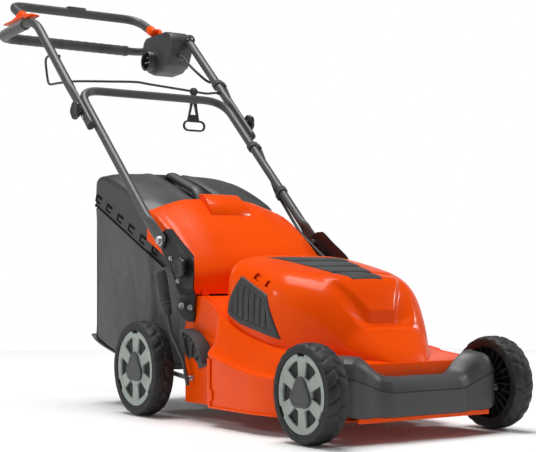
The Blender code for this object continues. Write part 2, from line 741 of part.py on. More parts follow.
def height_lever():
    """Lever rod beside the right arm, and its grip."""
    reach = Vector((0, math.cos(LEVER_ANGLE), math.sin(LEVER_ANGLE)))
    inner_x = -(AXLE_ARM_X + AXLE_ROD_RADIUS + LEVER_RADIUS - 0.2 * AXLE_BEND)
    knots = [REAR_PIVOT + reach * -0.014 + Vector((inner_x, 0, 0)),
             REAR_PIVOT + reach * 0.040 + Vector((inner_x, 0, 0)),
             REAR_PIVOT + reach * 0.095 + Vector((-LEVER_X, 0, 0)),
             REAR_PIVOT + reach * (GRIP_START + GRIP_LENGTH - 0.012) + Vector((-LEVER_X, 0, 0))]
    mesh = tube_mesh("height_lever", rounded(knots, 0.02, 3), LEVER_RADIUS, 2)
    add_mesh("height_lever", mesh, rear_carrier, TUBE_GREY)
    bore = LEVER_RADIUS + SEAT_GAP
    profile = [(0.0, GRIP_LENGTH), (GRIP_RADIUS * 0.6, GRIP_LENGTH), (GRIP_RADIUS, GRIP_LENGTH - 0.006),
               (GRIP_RADIUS, 0.040), (GRIP_RADIUS * 0.86, 0.022), (GRIP_RADIUS * 0.80, 0.0),
               (bore, 0.0), (bore, GRIP_LENGTH - 0.011), (0.0, GRIP_LENGTH - 0.011)]
    place = REAR_PIVOT + reach * GRIP_START + Vector((-LEVER_X, 0, 0))
    turned("lever_grip", profile, rear_carrier, place, RUBBER, axis=reach, steps=20)


def lever_guard():
    """Quadrant guard beside the right wheel, fixed to the deck's flank."""
    centre = (REAR_PIVOT.y, REAR_PIVOT.z + 0.012)
    outline = arc(centre, GUARD_RADIUS, 88, 165, 12) + arc(centre, GUARD_RADIUS - GUARD_BAND, 165, 88, 12)
    band_x = (DECK_REAR_HALF + GUARD_OUTER_X) / 2
    depth = GUARD_OUTER_X - DECK_REAR_HALF - SEAT_GAP
    band = plate_mesh("lever_guard", [outline], depth, (-band_x - SEAT_GAP / 2, 0, 0))
    obj = add_mesh("lever_guard", band, mower, DARK)
    web = arc(centre, GUARD_RADIUS - 0.001, 60, 164, 14) + arc(centre, GUARD_HOLLOW, 164, 60, 6)
    web_x = DECK_REAR_HALF + SEAT_GAP + GUARD_WEB / 2
    backing = plate_mesh("guard_web", [web], GUARD_WEB, (-web_x, 0, 0))
    return join(obj, "guard_web", backing, mower)


def wheel(end, side, label, radius, y, z, carrier):
    """One wheel: moulded tyre and web, spoked cover and hub cap."""
    name = end + "_wheel_" + label
    centre = (side * (WHEEL_OUTER_X - WHEEL_WIDTH / 2), y, z)
    axle = rig(name + "_axle", centre, carrier)
    half = WHEEL_WIDTH / 2
    recess = COVER_RIM_SHARE * radius
    web_top = half - COVER_INSET - COVER_THICKNESS - SEAT_GAP
    web_low = web_top - WHEEL_WEB
    bore = AXLE_ROD_RADIUS + RUN_GAP
    shoulder = 0.006
    profile = [(radius - shoulder, half), (radius, half - shoulder), (radius, shoulder - half),
               (radius - shoulder, -half), (recess - 0.003, -half), (recess - 0.003, web_low),
               (WHEEL_HUB_RADIUS, web_low), (WHEEL_HUB_RADIUS, 0.003 - half), (bore, 0.003 - half),
               (bore, web_top), (recess, web_top), (recess, half)]
    outward = (side, 0, 0)
    turned(name, profile, axle, centre, RUBBER, axis=outward, steps=WHEEL_STEPS, closed=True)
    outer = []
    edge_points = 36
    for i in range(edge_points):
        angle = 360 * i / edge_points
        notch = 0.93 if abs((angle - 90 + 60) % 120 - 60) < 6 else 1.0
        turn = math.radians(angle)
        reach = (recess - SEAT_GAP) * notch
        outer.append((reach * math.cos(turn), reach * math.sin(turn)))
    windows = []
    for i in range(SPOKES):
        middle = 60 + 360 * i / SPOKES
        windows.append(arc((0, 0), radius * 0.64, middle - 17, middle + 17, 3)
                       + arc((0, 0), radius * 0.36, middle + 13, middle - 13, 2))
    cover_x = side * (WHEEL_OUTER_X - COVER_INSET - COVER_THICKNESS / 2)
    mesh = plate_mesh(name + "_cover", [outer] + windows, COVER_THICKNESS, (cover_x, y, z))
    add_mesh(name + "_cover", mesh, axle, PALE)
    cap_radius = CAP_SHARE * radius
    cap_profile = [(0.0, CAP_HEIGHT), (cap_radius * 0.8, CAP_HEIGHT), (cap_radius, 0.0), (0.0, 0.0)]
    cap_place = (side * (WHEEL_OUTER_X - COVER_INSET + SEAT_GAP), y, z)
    turned(name + "_cap", cap_profile, axle, cap_place, DARK, axis=outward, steps=18)


def rotor():
    """Motor with its shaft, blade adapter, blade and bolt."""
    seat = MOTOR_SEAT_Z + SEAT_GAP
    bore = SHAFT_RADIUS + RUN_GAP
    profile = [(0.0, MOTOR_HEIGHT), (MOTOR_RADIUS * 0.6, MOTOR_HEIGHT), (MOTOR_RADIUS, MOTOR_HEIGHT - 0.018),
               (MOTOR_RADIUS, 0.008), (MOTOR_FLANGE_RADIUS, 0.008), (MOTOR_FLANGE_RADIUS, 0.0),
               (bore, 0.0), (bore, 0.035), (0.0, 0.035)]
    turned("motor", profile, mower, (0, MOTOR_Y, seat), STEEL, steps=28)
    shaft_low = BLADE_Z + BLADE_THICKNESS / 2 + SEAT_GAP + 0.006
    shaft_profile = [(0.0, seat + 0.034), (SHAFT_RADIUS, seat + 0.034), (SHAFT_RADIUS, shaft_low),
                     (0.0, shaft_low)]
    turned("motor_shaft", shaft_profile, blade_spindle, (0, MOTOR_Y, 0), STEEL, steps=20)
    adapter_low = BLADE_Z + BLADE_THICKNESS / 2 + SEAT_GAP
    hub_bore = SHAFT_RADIUS + SEAT_GAP
    high = ADAPTER_HEIGHT
    adapter_profile = [(hub_bore + 0.006, high), (hub_bore + 0.006, 0.010), (ADAPTER_RADIUS, 0.006),
                       (ADAPTER_RADIUS, 0.0), (BLADE_BOLT_RADIUS + SEAT_GAP, 0.0),
                       (BLADE_BOLT_RADIUS + SEAT_GAP, 0.005), (hub_bore, 0.005), (hub_bore, high)]
    turned("blade_adapter", adapter_profile, blade_spindle, (0, MOTOR_Y, adapter_low), DARK,
           steps=24, closed=True)
    half_length = BLADE_LENGTH / 2
    half_width = BLADE_WIDTH / 2
    outline = [(-half_length, -half_width), (-0.06, -half_width), (0.0, -half_width - 0.004),
               (0.06, -half_width), (half_length, -half_width), (half_length - 0.012, half_width),
               (0.06, half_width), (0.0, half_width + 0.004), (-0.06, half_width),
               (-half_length + 0.012, half_width)]
    hole = circle((0, 0), BLADE_BOLT_RADIUS + SEAT_GAP, 20)
    mesh = plate_mesh("blade", [outline, hole], BLADE_THICKNESS, (0, MOTOR_Y, BLADE_Z), Matrix())
    add_mesh("blade", mesh, blade_spindle, STEEL)
    head_top = BLADE_Z - BLADE_THICKNESS / 2 - SEAT_GAP
    bolt_profile = [(0.0, shaft_low - SEAT_GAP), (BLADE_BOLT_RADIUS, shaft_low - SEAT_GAP),
                    (BLADE_BOLT_RADIUS, head_top), (BLADE_HEAD_RADIUS, head_top),
                    (BLADE_HEAD_RADIUS, head_top - 0.003), (0.009, head_top - 0.003),
                    (0.009, head_top - 0.010), (0.0, head_top - 0.010)]
    turned("blade_bolt", bolt_profile, blade_spindle, (0, MOTOR_Y, 0), STEEL, steps=18)


def handle_bracket(side, label):
    """Pressed bracket: its head holds the handle, a step leads in to the foot on the deck's flank."""
    foot_x = DECK_REAR_HALF + SEAT_GAP + BRACKET_THICKNESS / 2
    rows = ((0.392, 0.528, 0.550, BRACKET_X), (0.382, 0.512, 0.572, BRACKET_X),
            (0.362, 0.482, 0.573, BRACKET_X), (0.330, 0.4335, 0.550, BRACKET_X),
            (0.300, 0.433, 0.525, BRACKET_X), (0.272, 0.433, 0.505, BRACKET_X),
            (0.252, 0.450, 0.515, foot_x), (0.226, 0.455, 0.528, foot_x), (0.200, 0.462, 0.486, foot_x))
    grid = []
    for z, front, rear, x in rows:
        grid.append([(side * x, front + (rear - front) * i / 3, z) for i in range(4)])
    mesh = skin_mesh("handle_bracket_" + label, grid, (0, 0.5, 0.3))
    obj = add_mesh("handle_bracket_" + label, mesh, mower, DARK)
    wall = obj.modifiers.new("Wall", "SOLIDIFY")
    wall.thickness = BRACKET_THICKNESS
    wall.offset = 0.0
    for name, y, z, radius in (("pivot_hole", PIVOT_Y, PIVOT_Z, BOLT_RADIUS + RUN_GAP),
                               ("knob_hole", BRACKET_KNOB_Y, BRACKET_KNOB_Z, BOLT_RADIUS + RUN_GAP)):
        hole = rod_mesh(name, (side * 0.15, y, z), (side * 0.25, y, z), radius, 16)
        cut(obj, name + "_" + label, hole, mower)
    return obj


def handle_bolt(side, label):
    """Pivot bolt of the lower handle: head outside, nut inside."""
    outer = BRACKET_X + BRACKET_THICKNESS / 2 + 3 * SEAT_GAP + TONGUE_THICKNESS
    inner = BRACKET_X - BRACKET_THICKNESS / 2 - SEAT_GAP
    profile = [(0.0, outer + 0.006), (0.0075, outer + 0.006), (0.0085, outer + 0.001), (0.0085, outer),
               (BOLT_RADIUS, outer), (BOLT_RADIUS, inner), (0.0075, inner), (0.0075, inner - 0.006),
               (0.0, inner - 0.006)]
    turned("handle_bolt_" + label, profile, mower, (0, PIVOT_Y, PIVOT_Z), STEEL,
           axis=(side, 0, 0), steps=16)


def knob(name, side, y, z, seat_x, stud_end_x, carrier):
    """Lobed clamp knob with its stud."""
    axle = rig(name + "_axis", (side * seat_x, y, z), carrier)
    lobes = 5
    outline = []
    for i in range(30):
        angle = 2 * math.pi * i / 30
        reach = KNOB_RADIUS * (0.88 + 0.12 * math.cos(lobes * angle))
        outline.append((y + reach * math.cos(angle), z + reach * math.sin(angle)))
    collar = 0.008
    head_x = side * (seat_x + collar + KNOB_DEPTH / 2)
    mesh = plate_mesh(name, [outline], KNOB_DEPTH, (head_x, 0, 0))
    obj = add_mesh(name, mesh, axle, DARK)
    neck = rod_mesh(name + "_neck", (side * seat_x, y, z), (side * (seat_x + collar + 0.002), y, z), 0.010)
    join(obj, name + "_neck", neck, axle)
    stud = rod_mesh(name + "_stud", (side * stud_end_x, y, z), (side * (seat_x + 0.004), y, z),
                    BOLT_RADIUS, 16)
    return join(obj, name + "_stud", stud, axle)


def lower_handle():
    """Lower U tube with a flattened tongue at each foot."""
    foot = Vector((0, 0.604, 0.402))
    ends = [on_handle(-0.360, side * LOWER_TUBE_X) for side, _ in BOTH_SIDES]
    feet = [foot + Vector((side * LOWER_TUBE_X, 0, 0)) for side, _ in BOTH_SIDES]
    top = [on_handle(CROSSBAR_AT, side * LOWER_TUBE_X) for side, _ in BOTH_SIDES]
    path = rounded([feet[0], ends[0], top[0], top[1], ends[1], feet[1]], CROSSBAR_BEND, 6)
    obj = add_mesh("lower_handle", tube_mesh("lower_handle", path, LOWER_TUBE_RADIUS), lower_hinge, TUBE_GREY)
    tongue_x = BRACKET_X + BRACKET_THICKNESS / 2 + SEAT_GAP + TONGUE_THICKNESS / 2
    outline = arc((PIVOT_Y, PIVOT_Z), 0.0125, 130, 290, 8) + [(0.612, 0.396), (0.628, 0.414), (0.606, 0.416)]
    for side, label in BOTH_SIDES:
        tongue = plate_mesh("tongue", [outline], TONGUE_THICKNESS, (side * tongue_x, 0, 0))
        join(obj, "tongue_" + label, tongue, lower_hinge)
        hole = rod_mesh("tongue_hole", (side * 0.15, PIVOT_Y, PIVOT_Z), (side * 0.25, PIVOT_Y, PIVOT_Z),
                        BOLT_RADIUS + RUN_GAP, 16)
        cut(obj, "tongue_hole_" + label, hole, lower_hinge)
        bolt_hole = rod_mesh("fold_hole", FOLD + Vector((side * 0.15, 0, 0)),
                             FOLD + Vector((side * 0.27, 0, 0)), BOLT_RADIUS + RUN_GAP, 16)
        cut(obj, "fold_hole_" + label, bolt_hole, lower_hinge)
    return obj


def loop_path():
    """Centre line of the upper handle, from its right foot round the rear bar to its left foot."""
    half = []
    for side, _ in BOTH_SIDES:
        knee_along = (UPPER_LEVEL_Z - FOLD_Z) / math.sin(HANDLE_SLOPE)
        half.append((on_handle(UPPER_TUBE_END, side * UPPER_TUBE_X),
                     on_handle(knee_along, side * UPPER_TUBE_X),
                     Vector((side * UPPER_TUBE_X, LOOP_REAR_Y, UPPER_LEVEL_Z - 0.006))))
    right, left = half
    return rounded([right[0], right[1], right[2], left[2], left[1], left[0]], LOOP_BEND, 6)


def upper_handle():
    """Upper handle tube, flattened where it is clamped to the lower one."""
    path = loop_path()
    path[0] = on_handle(SLEEVE_TOP - 0.01, -UPPER_TUBE_X)
    path[-1] = on_handle(SLEEVE_TOP - 0.01, UPPER_TUBE_X)
    obj = add_mesh("upper_handle", tube_mesh("upper_handle", path, UPPER_TUBE_RADIUS), upper_hinge, TUBE_GREY)
    squash = SLEEVE_HALF_THICKNESS / SLEEVE_HALF_HEIGHT
    for side, label in BOTH_SIDES:
        sleeve = rod_mesh("sleeve", on_handle(UPPER_TUBE_END, 0), on_handle(SLEEVE_TOP, 0),
                          SLEEVE_HALF_HEIGHT, 22)
        sleeve.transform(Matrix.Translation((side * UPPER_TUBE_X, 0, 0)) @ Matrix.Diagonal((squash, 1, 1, 1)))
        join(obj, "sleeve_" + label, sleeve, upper_hinge)
        hole = rod_mesh("clamp_hole", FOLD + Vector((side * 0.15, 0, 0)), FOLD + Vector((side * 0.27, 0, 0)),
                        BOLT_RADIUS + RUN_GAP, 15)
        cut(obj, "clamp_hole_" + label, hole, upper_hinge)
    return obj


def handle_grip():
    """Soft grip over the right corner and the rear bar."""
    path = [point for point in loop_path() if point.y > GRIP_FROM_Y and point.x < GRIP_TO_X]
    path = [Vector((-UPPER_TUBE_X, GRIP_FROM_Y, UPPER_LEVEL_Z - 0.0005))] + path
    path.append(Vector((GRIP_TO_X, LOOP_REAR_Y, UPPER_LEVEL_Z - 0.006)))
    obj = add_mesh("handle_grip", tube_mesh("handle_grip", path, GRIP_TUBE_RADIUS, 3), upper_hinge, RUBBER)
    bore = tube_mesh("grip_bore", loop_path(), UPPER_TUBE_RADIUS + SEAT_GAP, 3)
    return cut(obj, "grip_bore", bore, upper_hinge)


def switch_box():
    """Switch box clamped round the left tube."""
    outline = ((1.402, 0.931), (1.378, 0.952), (1.345, 0.960), (1.215, 0.960), (1.172, 0.938), (1.176, 0.900),
               (1.192, 0.868), (1.232, 0.849), (1.300, 0.850), (1.360, 0.872), (1.400, 0.905))
    thickness = BOX_OUTER_X - BOX_INNER_X
    mesh = plate_mesh("switch_box", [outline], thickness, ((BOX_OUTER_X + BOX_INNER_X) / 2, 0, 0))
    obj = add_mesh("switch_box", mesh, upper_hinge, DARK, smooth=25)
    edge = obj.modifiers.new("Rounded", "BEVEL")
    edge.width = 0.006
    edge.segments = 2
    edge.angle_limit = math.radians(50)
    tunnel = tube_mesh("box_tunnel", loop_path(), UPPER_TUBE_RADIUS + SEAT_GAP, 3)
    cut(obj, "box_tunnel", tunnel, upper_hinge)
    pocket = rod_mesh("inlet_pocket", (BOX_INNER_X - 0.01, INLET_Y, INLET_Z),
                      (BOX_INNER_X + 0.012, INLET_Y, INLET_Z), INLET_RADIUS + SEAT_GAP, 28)
    cut(obj, "inlet_pocket", pocket, upper_hinge)
    entry = rod_mesh("cable_entry", (CABLE_START.x, CABLE_START.y - 0.01, CABLE_START.z),
                     (CABLE_START.x, CABLE_START.y + 0.014, CABLE_START.z), CABLE_RADIUS + SEAT_GAP, 16)
    cut(obj, "cable_entry", entry, upper_hinge)
    button = rod_mesh("button_pocket", (BUTTON_X, 1.35, BUTTON_Z), (BUTTON_X, 1.42, BUTTON_Z),
                      0.008 + RUN_GAP, 20)
    return cut(obj, "button_pocket", button, upper_hinge)


CABLE_START = Vector((UPPER_TUBE_X - 0.0225, 1.190, 0.885))
CABLE_END = Vector((0.150, 0.362, 0.265))
CABLE_ENTRY = Vector((0.016, 0.020, 0.007))
BUTTON_Z = 0.908


def power_inlet():
    """Recessed mains inlet with its pins."""
    inner = BOX_INNER_X + 0.012 - SEAT_GAP
    depth = INLET_DEPTH + 0.010
    profile = [(0.0, depth - 0.020), (INLET_BORE, depth - 0.020), (INLET_BORE, depth), (INLET_RADIUS, depth),
               (INLET_RADIUS, 0.0), (0.0, 0.0)]
    obj = turned("power_inlet", profile, upper_hinge, (inner, INLET_Y, INLET_Z), DARK,
                 axis=(-1, 0, 0), steps=28)
    floor_x = inner - depth + 0.020
    for i, name in enumerate(("pin_a", "pin_b", "pin_c")):
        angle = math.radians(90 + 120 * i)
        y = INLET_Y + 0.009 * math.cos(angle)
        z = INLET_Z + 0.009 * math.sin(angle)
        pin = rod_mesh(name, (floor_x + 0.003, y, z), (floor_x - 0.015, y, z), PIN_RADIUS, 10)
        join(obj, name, pin, upper_hinge)
    return obj


def lock_button():
    """Safety button that slides in the rear of the switch box."""
    axle = rig("lock_button_axis", (BUTTON_X, 1.35, BUTTON_Z), upper_hinge)
    profile = [(0.0, 0.062), (0.006, 0.062), (0.008, 0.059), (0.008, 0.008), (0.0, 0.008)]
    return turned("lock_button", profile, axle, (BUTTON_X, 1.35, BUTTON_Z), ORANGE, axis=(0, 1, 0), steps=18)


def bail_pivot_x():
    return BAIL_X + BAIL_RADIUS + SEAT_GAP


def opc_bail():
    """Start bail: a loop over the rear bar, with a pin at each end."""
    axle = rig("bail_pivot", (0, BAIL_PIVOT_Y, BAIL_PIVOT_Z), upper_hinge)
    corners = [(-BAIL_X, BAIL_PIVOT_Y - 0.004, BAIL_PIVOT_Z - 0.002), (-BAIL_X, BAIL_REAR_Y, BAIL_REAR_Z),
               (BAIL_X, BAIL_REAR_Y, BAIL_REAR_Z), (BAIL_X, BAIL_PIVOT_Y - 0.004, BAIL_PIVOT_Z - 0.002)]
    mesh = tube_mesh("opc_bail", rounded(corners, BAIL_BEND, 6), BAIL_RADIUS, 3)
    obj = add_mesh("opc_bail", mesh, axle, DARK)
    for side, label in BOTH_SIDES:
        pin = rod_mesh("bail_pin", (side * BAIL_X, BAIL_PIVOT_Y, BAIL_PIVOT_Z),
                       (side * (bail_pivot_x() + 0.009), BAIL_PIVOT_Y, BAIL_PIVOT_Z), BAIL_PIN_RADIUS, 12)
        join(obj, "bail_pin_" + label, pin, axle)
    pad = box_mesh("bail_pad", (-0.025, BAIL_REAR_Y - 0.006, BAIL_REAR_Z),
                   (0.025, BAIL_REAR_Y + 0.006, BAIL_REAR_Z + BAIL_RADIUS + 0.003))
    return join(obj, "bail_pad", pad, axle)


def bail_brackets():
    """Ears that hold the bail: a long one on the right tube, a short one on the switch box."""
    ear_low = bail_pivot_x()
    ear_high = ear_low + 0.008
    seat_right = UPPER_LEVEL_Z + UPPER_TUBE_RADIUS + SEAT_GAP
    ear_right = ((1.205, seat_right), (1.246, seat_right), (1.250, seat_right + 0.0052),
                 (1.385, seat_right + 0.0052), (1.388, 0.974), (1.350, 0.979), (1.338, 0.9865),
                 (1.322, 0.9865), (1.308, 0.979), (1.240, 0.970), (1.205, seat_right + 0.004))
    ear_x = (ear_low + ear_high) / 2
    mesh = plate_mesh("bail_bracket_right", [ear_right], ear_high - ear_low, (-ear_x, 0, 0))
    right = add_mesh("bail_bracket_right", mesh, upper_hinge, ORANGE)
    seat = ((1.205, seat_right), (1.246, seat_right), (1.250, seat_right + 0.0052),
            (1.385, seat_right + 0.0052), (1.386, seat_right + 0.010),
            (1.240, seat_right + 0.0102), (1.205, seat_right + 0.004))
    saddle = plate_mesh("bail_saddle", [seat], 0.026, (-(ear_low + 0.013), 0, 0))
    join(right, "bail_saddle", saddle, upper_hinge)
    box_top = 0.960 + SEAT_GAP
    ear_left = ((1.300, box_top), (1.344, box_top), (1.342, 0.982), (1.336, 0.9865), (1.322, 0.9865),
                (1.312, 0.982))
    mesh = plate_mesh("bail_bracket_left", [ear_left], ear_high - ear_low, (ear_x, 0, 0))
    left = add_mesh("bail_bracket_left", mesh, upper_hinge, ORANGE)
    for side, obj in ((-1, right), (1, left)):
        hole = rod_mesh("ear_hole", (side * 0.18, BAIL_PIVOT_Y, BAIL_PIVOT_Z),
                        (side * 0.25, BAIL_PIVOT_Y, BAIL_PIVOT_Z), BAIL_PIN_RADIUS + RUN_GAP, 14)
        cut(obj, "ear_hole_" + obj.name, hole, upper_hinge)


def rear_flap():
    """Rear flap: rises from its hinge and lies over the collector's front."""
    outline = ((0.489, 0.268), (0.486, 0.310), (0.500, 0.334), (0.530, 0.366), (0.570, 0.402),
               (0.610, 0.434), (0.645, 0.456), (0.672, 0.467))
    skirt = (0.000, 0.004, 0.010, 0.018, 0.028, 0.038, 0.046, 0.052)
    rows = []
    for (y, z), drop in zip(outline, skirt):
        half = [(0, y, z), (FLAP_HALF_WIDTH * 0.40, y, z - 0.002), (FLAP_HALF_WIDTH * 0.745, y, z - 0.006),
                (FLAP_HALF_WIDTH * 0.917, y, z - 0.012),
                (FLAP_HALF_WIDTH - 0.003, y, z - 0.018 * min(1, drop / 0.02 + 0.3)),
                (FLAP_HALF_WIDTH, y, z - 0.020 - drop * 0.6)]
        rows.append(mirrored(half))
    rows[0] = [(x, y, outline[0][1]) for x, y, z in rows[0]]
    mesh = skin_mesh("rear_flap", rows, (0, 0.62, 0.33))
    obj = add_mesh("rear_flap", mesh, flap_hinge, ORANGE, smooth=35)
    thicken(obj, WALL)
    bump = plate_mesh("finger_bump", [((0.600, 0.424), (0.612, 0.446), (0.650, 0.474), (0.676, 0.477),
                                       (0.676, 0.462), (0.640, 0.450))], 0.075, (0, 0, 0))
    join(obj, "finger_bump", bump, flap_hinge)
    barrel_ends = [(side * 0.1175, FLAP_HINGE_Y, FLAP_HINGE_Z) for side, _ in BOTH_SIDES]
    barrel = tube_mesh("flap_barrel", barrel_ends, FLAP_ROD_RADIUS + RUN_GAP + 0.0025, 3)
    join(obj, "flap_barrel", barrel, flap_hinge)
    bore = rod_mesh("flap_bore", (-0.2, FLAP_HINGE_Y, FLAP_HINGE_Z), (0.2, FLAP_HINGE_Y, FLAP_HINGE_Z),
                    FLAP_ROD_RADIUS + RUN_GAP, 16)
    return cut(obj, "flap_bore", bore, flap_hinge)


def flap_hinge_rod():
    """Hinge rod of the flap, with a foot at each end that stands on the deck."""
    ends = [(side * 0.150, FLAP_HINGE_Y, FLAP_HINGE_Z) for side, _ in BOTH_SIDES]
    mesh = rod_mesh("flap_hinge_rod", *ends, FLAP_ROD_RADIUS, 14)
    obj = add_mesh("flap_hinge_rod", mesh, mower, STEEL)
    foot_low = between(DECK_TOP, FLAP_HINGE_Y + 0.0095) + SEAT_GAP
    for side, label in BOTH_SIDES:
        foot = box_mesh("rod_foot", (side * 0.141 - 0.008, FLAP_HINGE_Y - 0.010, foot_low),
                        (side * 0.141 + 0.008, FLAP_HINGE_Y + 0.0095, FLAP_HINGE_Z + 0.0010))
        join(obj, "rod_foot_" + label, foot, mower)
    return obj


def lid_low(y):
    """Height of the lid's lower edge."""
    return between(((LID_FRONT_Y, 0.268), (LID_BEND_Y, 0.306), (0.930, 0.460)), y)


def collector_lid():
    """Plastic top of the grass collector, open below and in front."""
    crown = ((LID_FRONT_Y, 0.292), (0.530, 0.326), (0.570, 0.370), (LID_BEND_Y, 0.390), (0.610, 0.408),
             (0.645, 0.434), (0.680, 0.453), (0.740, 0.480), (0.800, 0.504), (0.860, 0.524), (0.905, 0.534),
             (0.930, 0.530))
    rows = []
    for y, z in crown:
        wide = LID_NARROW if y < 0.66 else LID_WIDE
        drop = 0.022 if y < 0.69 else 0.006
        half = [(0, y, z), (wide * 0.47, y, z - 0.002), (wide * 0.76, y, z - 0.005),
                (wide - 0.012, y, z - 0.008 - drop / 2),
                (wide - 0.002, y, max(z - 0.016 - drop, lid_low(y) + 0.012)), (wide, y, lid_low(y))]
        rows.append(mirrored(half))
    rear_low = lid_low(0.930)
    rows.append([(x * 0.99, LID_REAR_Y, rear_low + (z - rear_low) * 0.9) for x, y, z in rows[-1]])
    rows.append([(x, LID_REAR_Y + 0.002, rear_low) for x, y, z in rows[-1]])
    mesh = skin_mesh("collector_lid", rows, (0, 0.75, 0.38))
    obj = add_mesh("collector_lid", mesh, collector, GREY, smooth=35)
    return thicken(obj, WALL)


def collector_bag():
    """Fabric body of the collector, open at its top and its front."""
    rows = []
    floor = ((LID_FRONT_Y, BAG_FLOOR_Z), (LID_BEND_Y, BAG_FLOOR_Z), (0.620, BAG_FLOOR_Z),
             (0.740, BAG_FLOOR_Z + 0.004), (0.840, 0.122), (0.926, BAG_REAR_Z))
    for y, low in floor:
        wide = (LID_NARROW if y < 0.66 else LID_WIDE) - 0.0015
        high = lid_low(y) - 2 * SEAT_GAP
        half = [(0, y, low), (wide - 0.03, y, low), (wide - 0.006, y, low + 0.010),
                (wide - 0.002, y, (low + high) / 2), (wide, y, high)]
        rows.append(mirrored(half))
    high = lid_low(0.926) - 2 * SEAT_GAP
    rows.append([(x * 0.99, 0.932, low + (high - low) * 0.02) for x, y, low in rows[-1]])
    rows.append([(x, 0.934, high) for x, y, z in rows[-1]])
    mesh = skin_mesh("collector_bag", rows, (0, 0.72, 0.25))
    obj = add_mesh("collector_bag", mesh, collector, CLOTH, smooth=35)
    return thicken(obj, 0.0025)


def collector_bottom():
    """Stiff plate under the bag, past its rear hem."""
    gap = SEAT_GAP + 0.0002
    outline = ((0.620, BAG_FLOOR_Z - gap), (0.740, BAG_FLOOR_Z + 0.004 - gap), (0.840, 0.122 - gap),
               (0.926, BAG_REAR_Z - gap), (0.952, BAG_REAR_Z + 0.007), (0.954, BAG_REAR_Z + 0.002),
               (0.928, BAG_REAR_Z - 0.006), (0.840, 0.116), (0.740, BAG_FLOOR_Z - 0.002),
               (0.620, BAG_FLOOR_Z - 0.006))
    mesh = plate_mesh("collector_bottom", [outline], 2 * (LID_WIDE - 0.012), (0, 0, 0))
    return add_mesh("collector_bottom", mesh, collector, DARK)


def collector_handle():
    """Carry handle on the lid."""
    crown = ((0.735, 0.478), (0.900, 0.533))
    path = rounded([(0, 0.742, between(crown, 0.742) + 0.0079), (0, 0.762, 0.520), (0, 0.882, 0.566),
                    (0, 0.896, between(crown, 0.896) + 0.0112)], 0.016, 4)
    mesh = tube_mesh("collector_handle", path, 0.0085, 3)
    return add_mesh("collector_handle", mesh, collector, DARK)


def guide_points():
    """Centre line of the cord guide wire."""
    side_x = UPPER_TUBE_X - UPPER_TUBE_RADIUS - GUIDE_RADIUS - SEAT_GAP
    seat_x = UPPER_TUBE_X - UPPER_TUBE_RADIUS - 2 * SEAT_GAP
    return [(-side_x, 1.072, 0.8315), (-side_x, 1.100, 0.8420), (-side_x, 1.138, 0.8400),
            (-side_x, 1.155, 0.8270), (-side_x, 1.149, 0.8010), (-side_x, 1.125, 0.7810),
            (-side_x, 1.085, 0.7700), (-side_x + 0.004, 1.040, 0.7665), (-0.178, 1.012, 0.7670),
            (-0.110, 0.998, 0.7700), *(guide_at(x) for x in (-0.035, 0.0, 0.060, 0.120, 0.165)),
            (0.190, 0.9990, 0.7650), on_handle(0.128, seat_x)]


def guide_at(x):
    """A place on the straight stretch of the guide wire."""
    return (x, 0.9960, 0.7745 - GUIDE_SLOPE * (x + 0.035))


def cord_guide():
    """Wire that the cord's retainer slides on."""
    mesh = tube_mesh("cord_guide", smooth_path(guide_points(), 3), GUIDE_RADIUS, 2)
    return add_mesh("cord_guide", mesh, upper_hinge, DARK)


def cord_retainer():
    """Hanging retainer: an eye on the wire, a hook plate and an oval ring below."""
    x, y, wire_z = guide_at(0.130)
    axle = rig("cord_retainer_axis", (x, y, wire_z), upper_hinge)
    ring_z = 0.676
    stadium = [(x + 0.018 * side + px, ring_z + pz) for side, start in ((1, -90), (-1, 90))
               for px, pz in arc((0, 0), 0.014, start, start + 180, 8)]
    slot = [(x + 0.018 * side + px, ring_z + pz) for side, start in ((1, -90), (-1, 90))
            for px, pz in arc((0, 0), 0.0095, start, start + 180, 8)]
    mesh = plate_mesh("cord_retainer", [stadium, slot], 0.005, (0, y, 0), FACING_FRONT)
    obj = add_mesh("cord_retainer", mesh, axle, DARK)
    frame = [(x - 0.020, 0.686), (x + 0.014, 0.686), (x + 0.008, 0.722), (x + 0.004, wire_z + 0.009),
             (x - 0.006, wire_z + 0.009), (x - 0.012, 0.722)]
    hole = [(x - 0.012, 0.704), (x + 0.006, 0.704), (x + 0.002, 0.722), (x - 0.003, 0.740),
            (x - 0.007, 0.722)]
    neck = plate_mesh("retainer_neck", [frame, hole], 0.006, (0, y, 0), FACING_FRONT)
    join(obj, "retainer_neck", neck, axle)
    boss = rod_mesh("retainer_boss", (x - 0.008, y, wire_z), (x + 0.006, y, wire_z), 0.008, 16)
    join(obj, "retainer_boss", boss, axle)
    eye = rod_mesh("retainer_eye", guide_at(x - 0.05), guide_at(x + 0.05),
                   GUIDE_RADIUS + RUN_GAP, 14)
    return cut(obj, "retainer_eye", eye, axle)


CLIP_OFFSET_UPPER = UPPER_TUBE_RADIUS + CABLE_RADIUS + 0.004
CLIP_OFFSET_LOWER = LOWER_TUBE_RADIUS + CABLE_RADIUS + 0.004
CLIP_UPPER_AT = 0.165
CLIP_MIDDLE_AT = -0.102
CLIP_LOWER_AT = -0.275


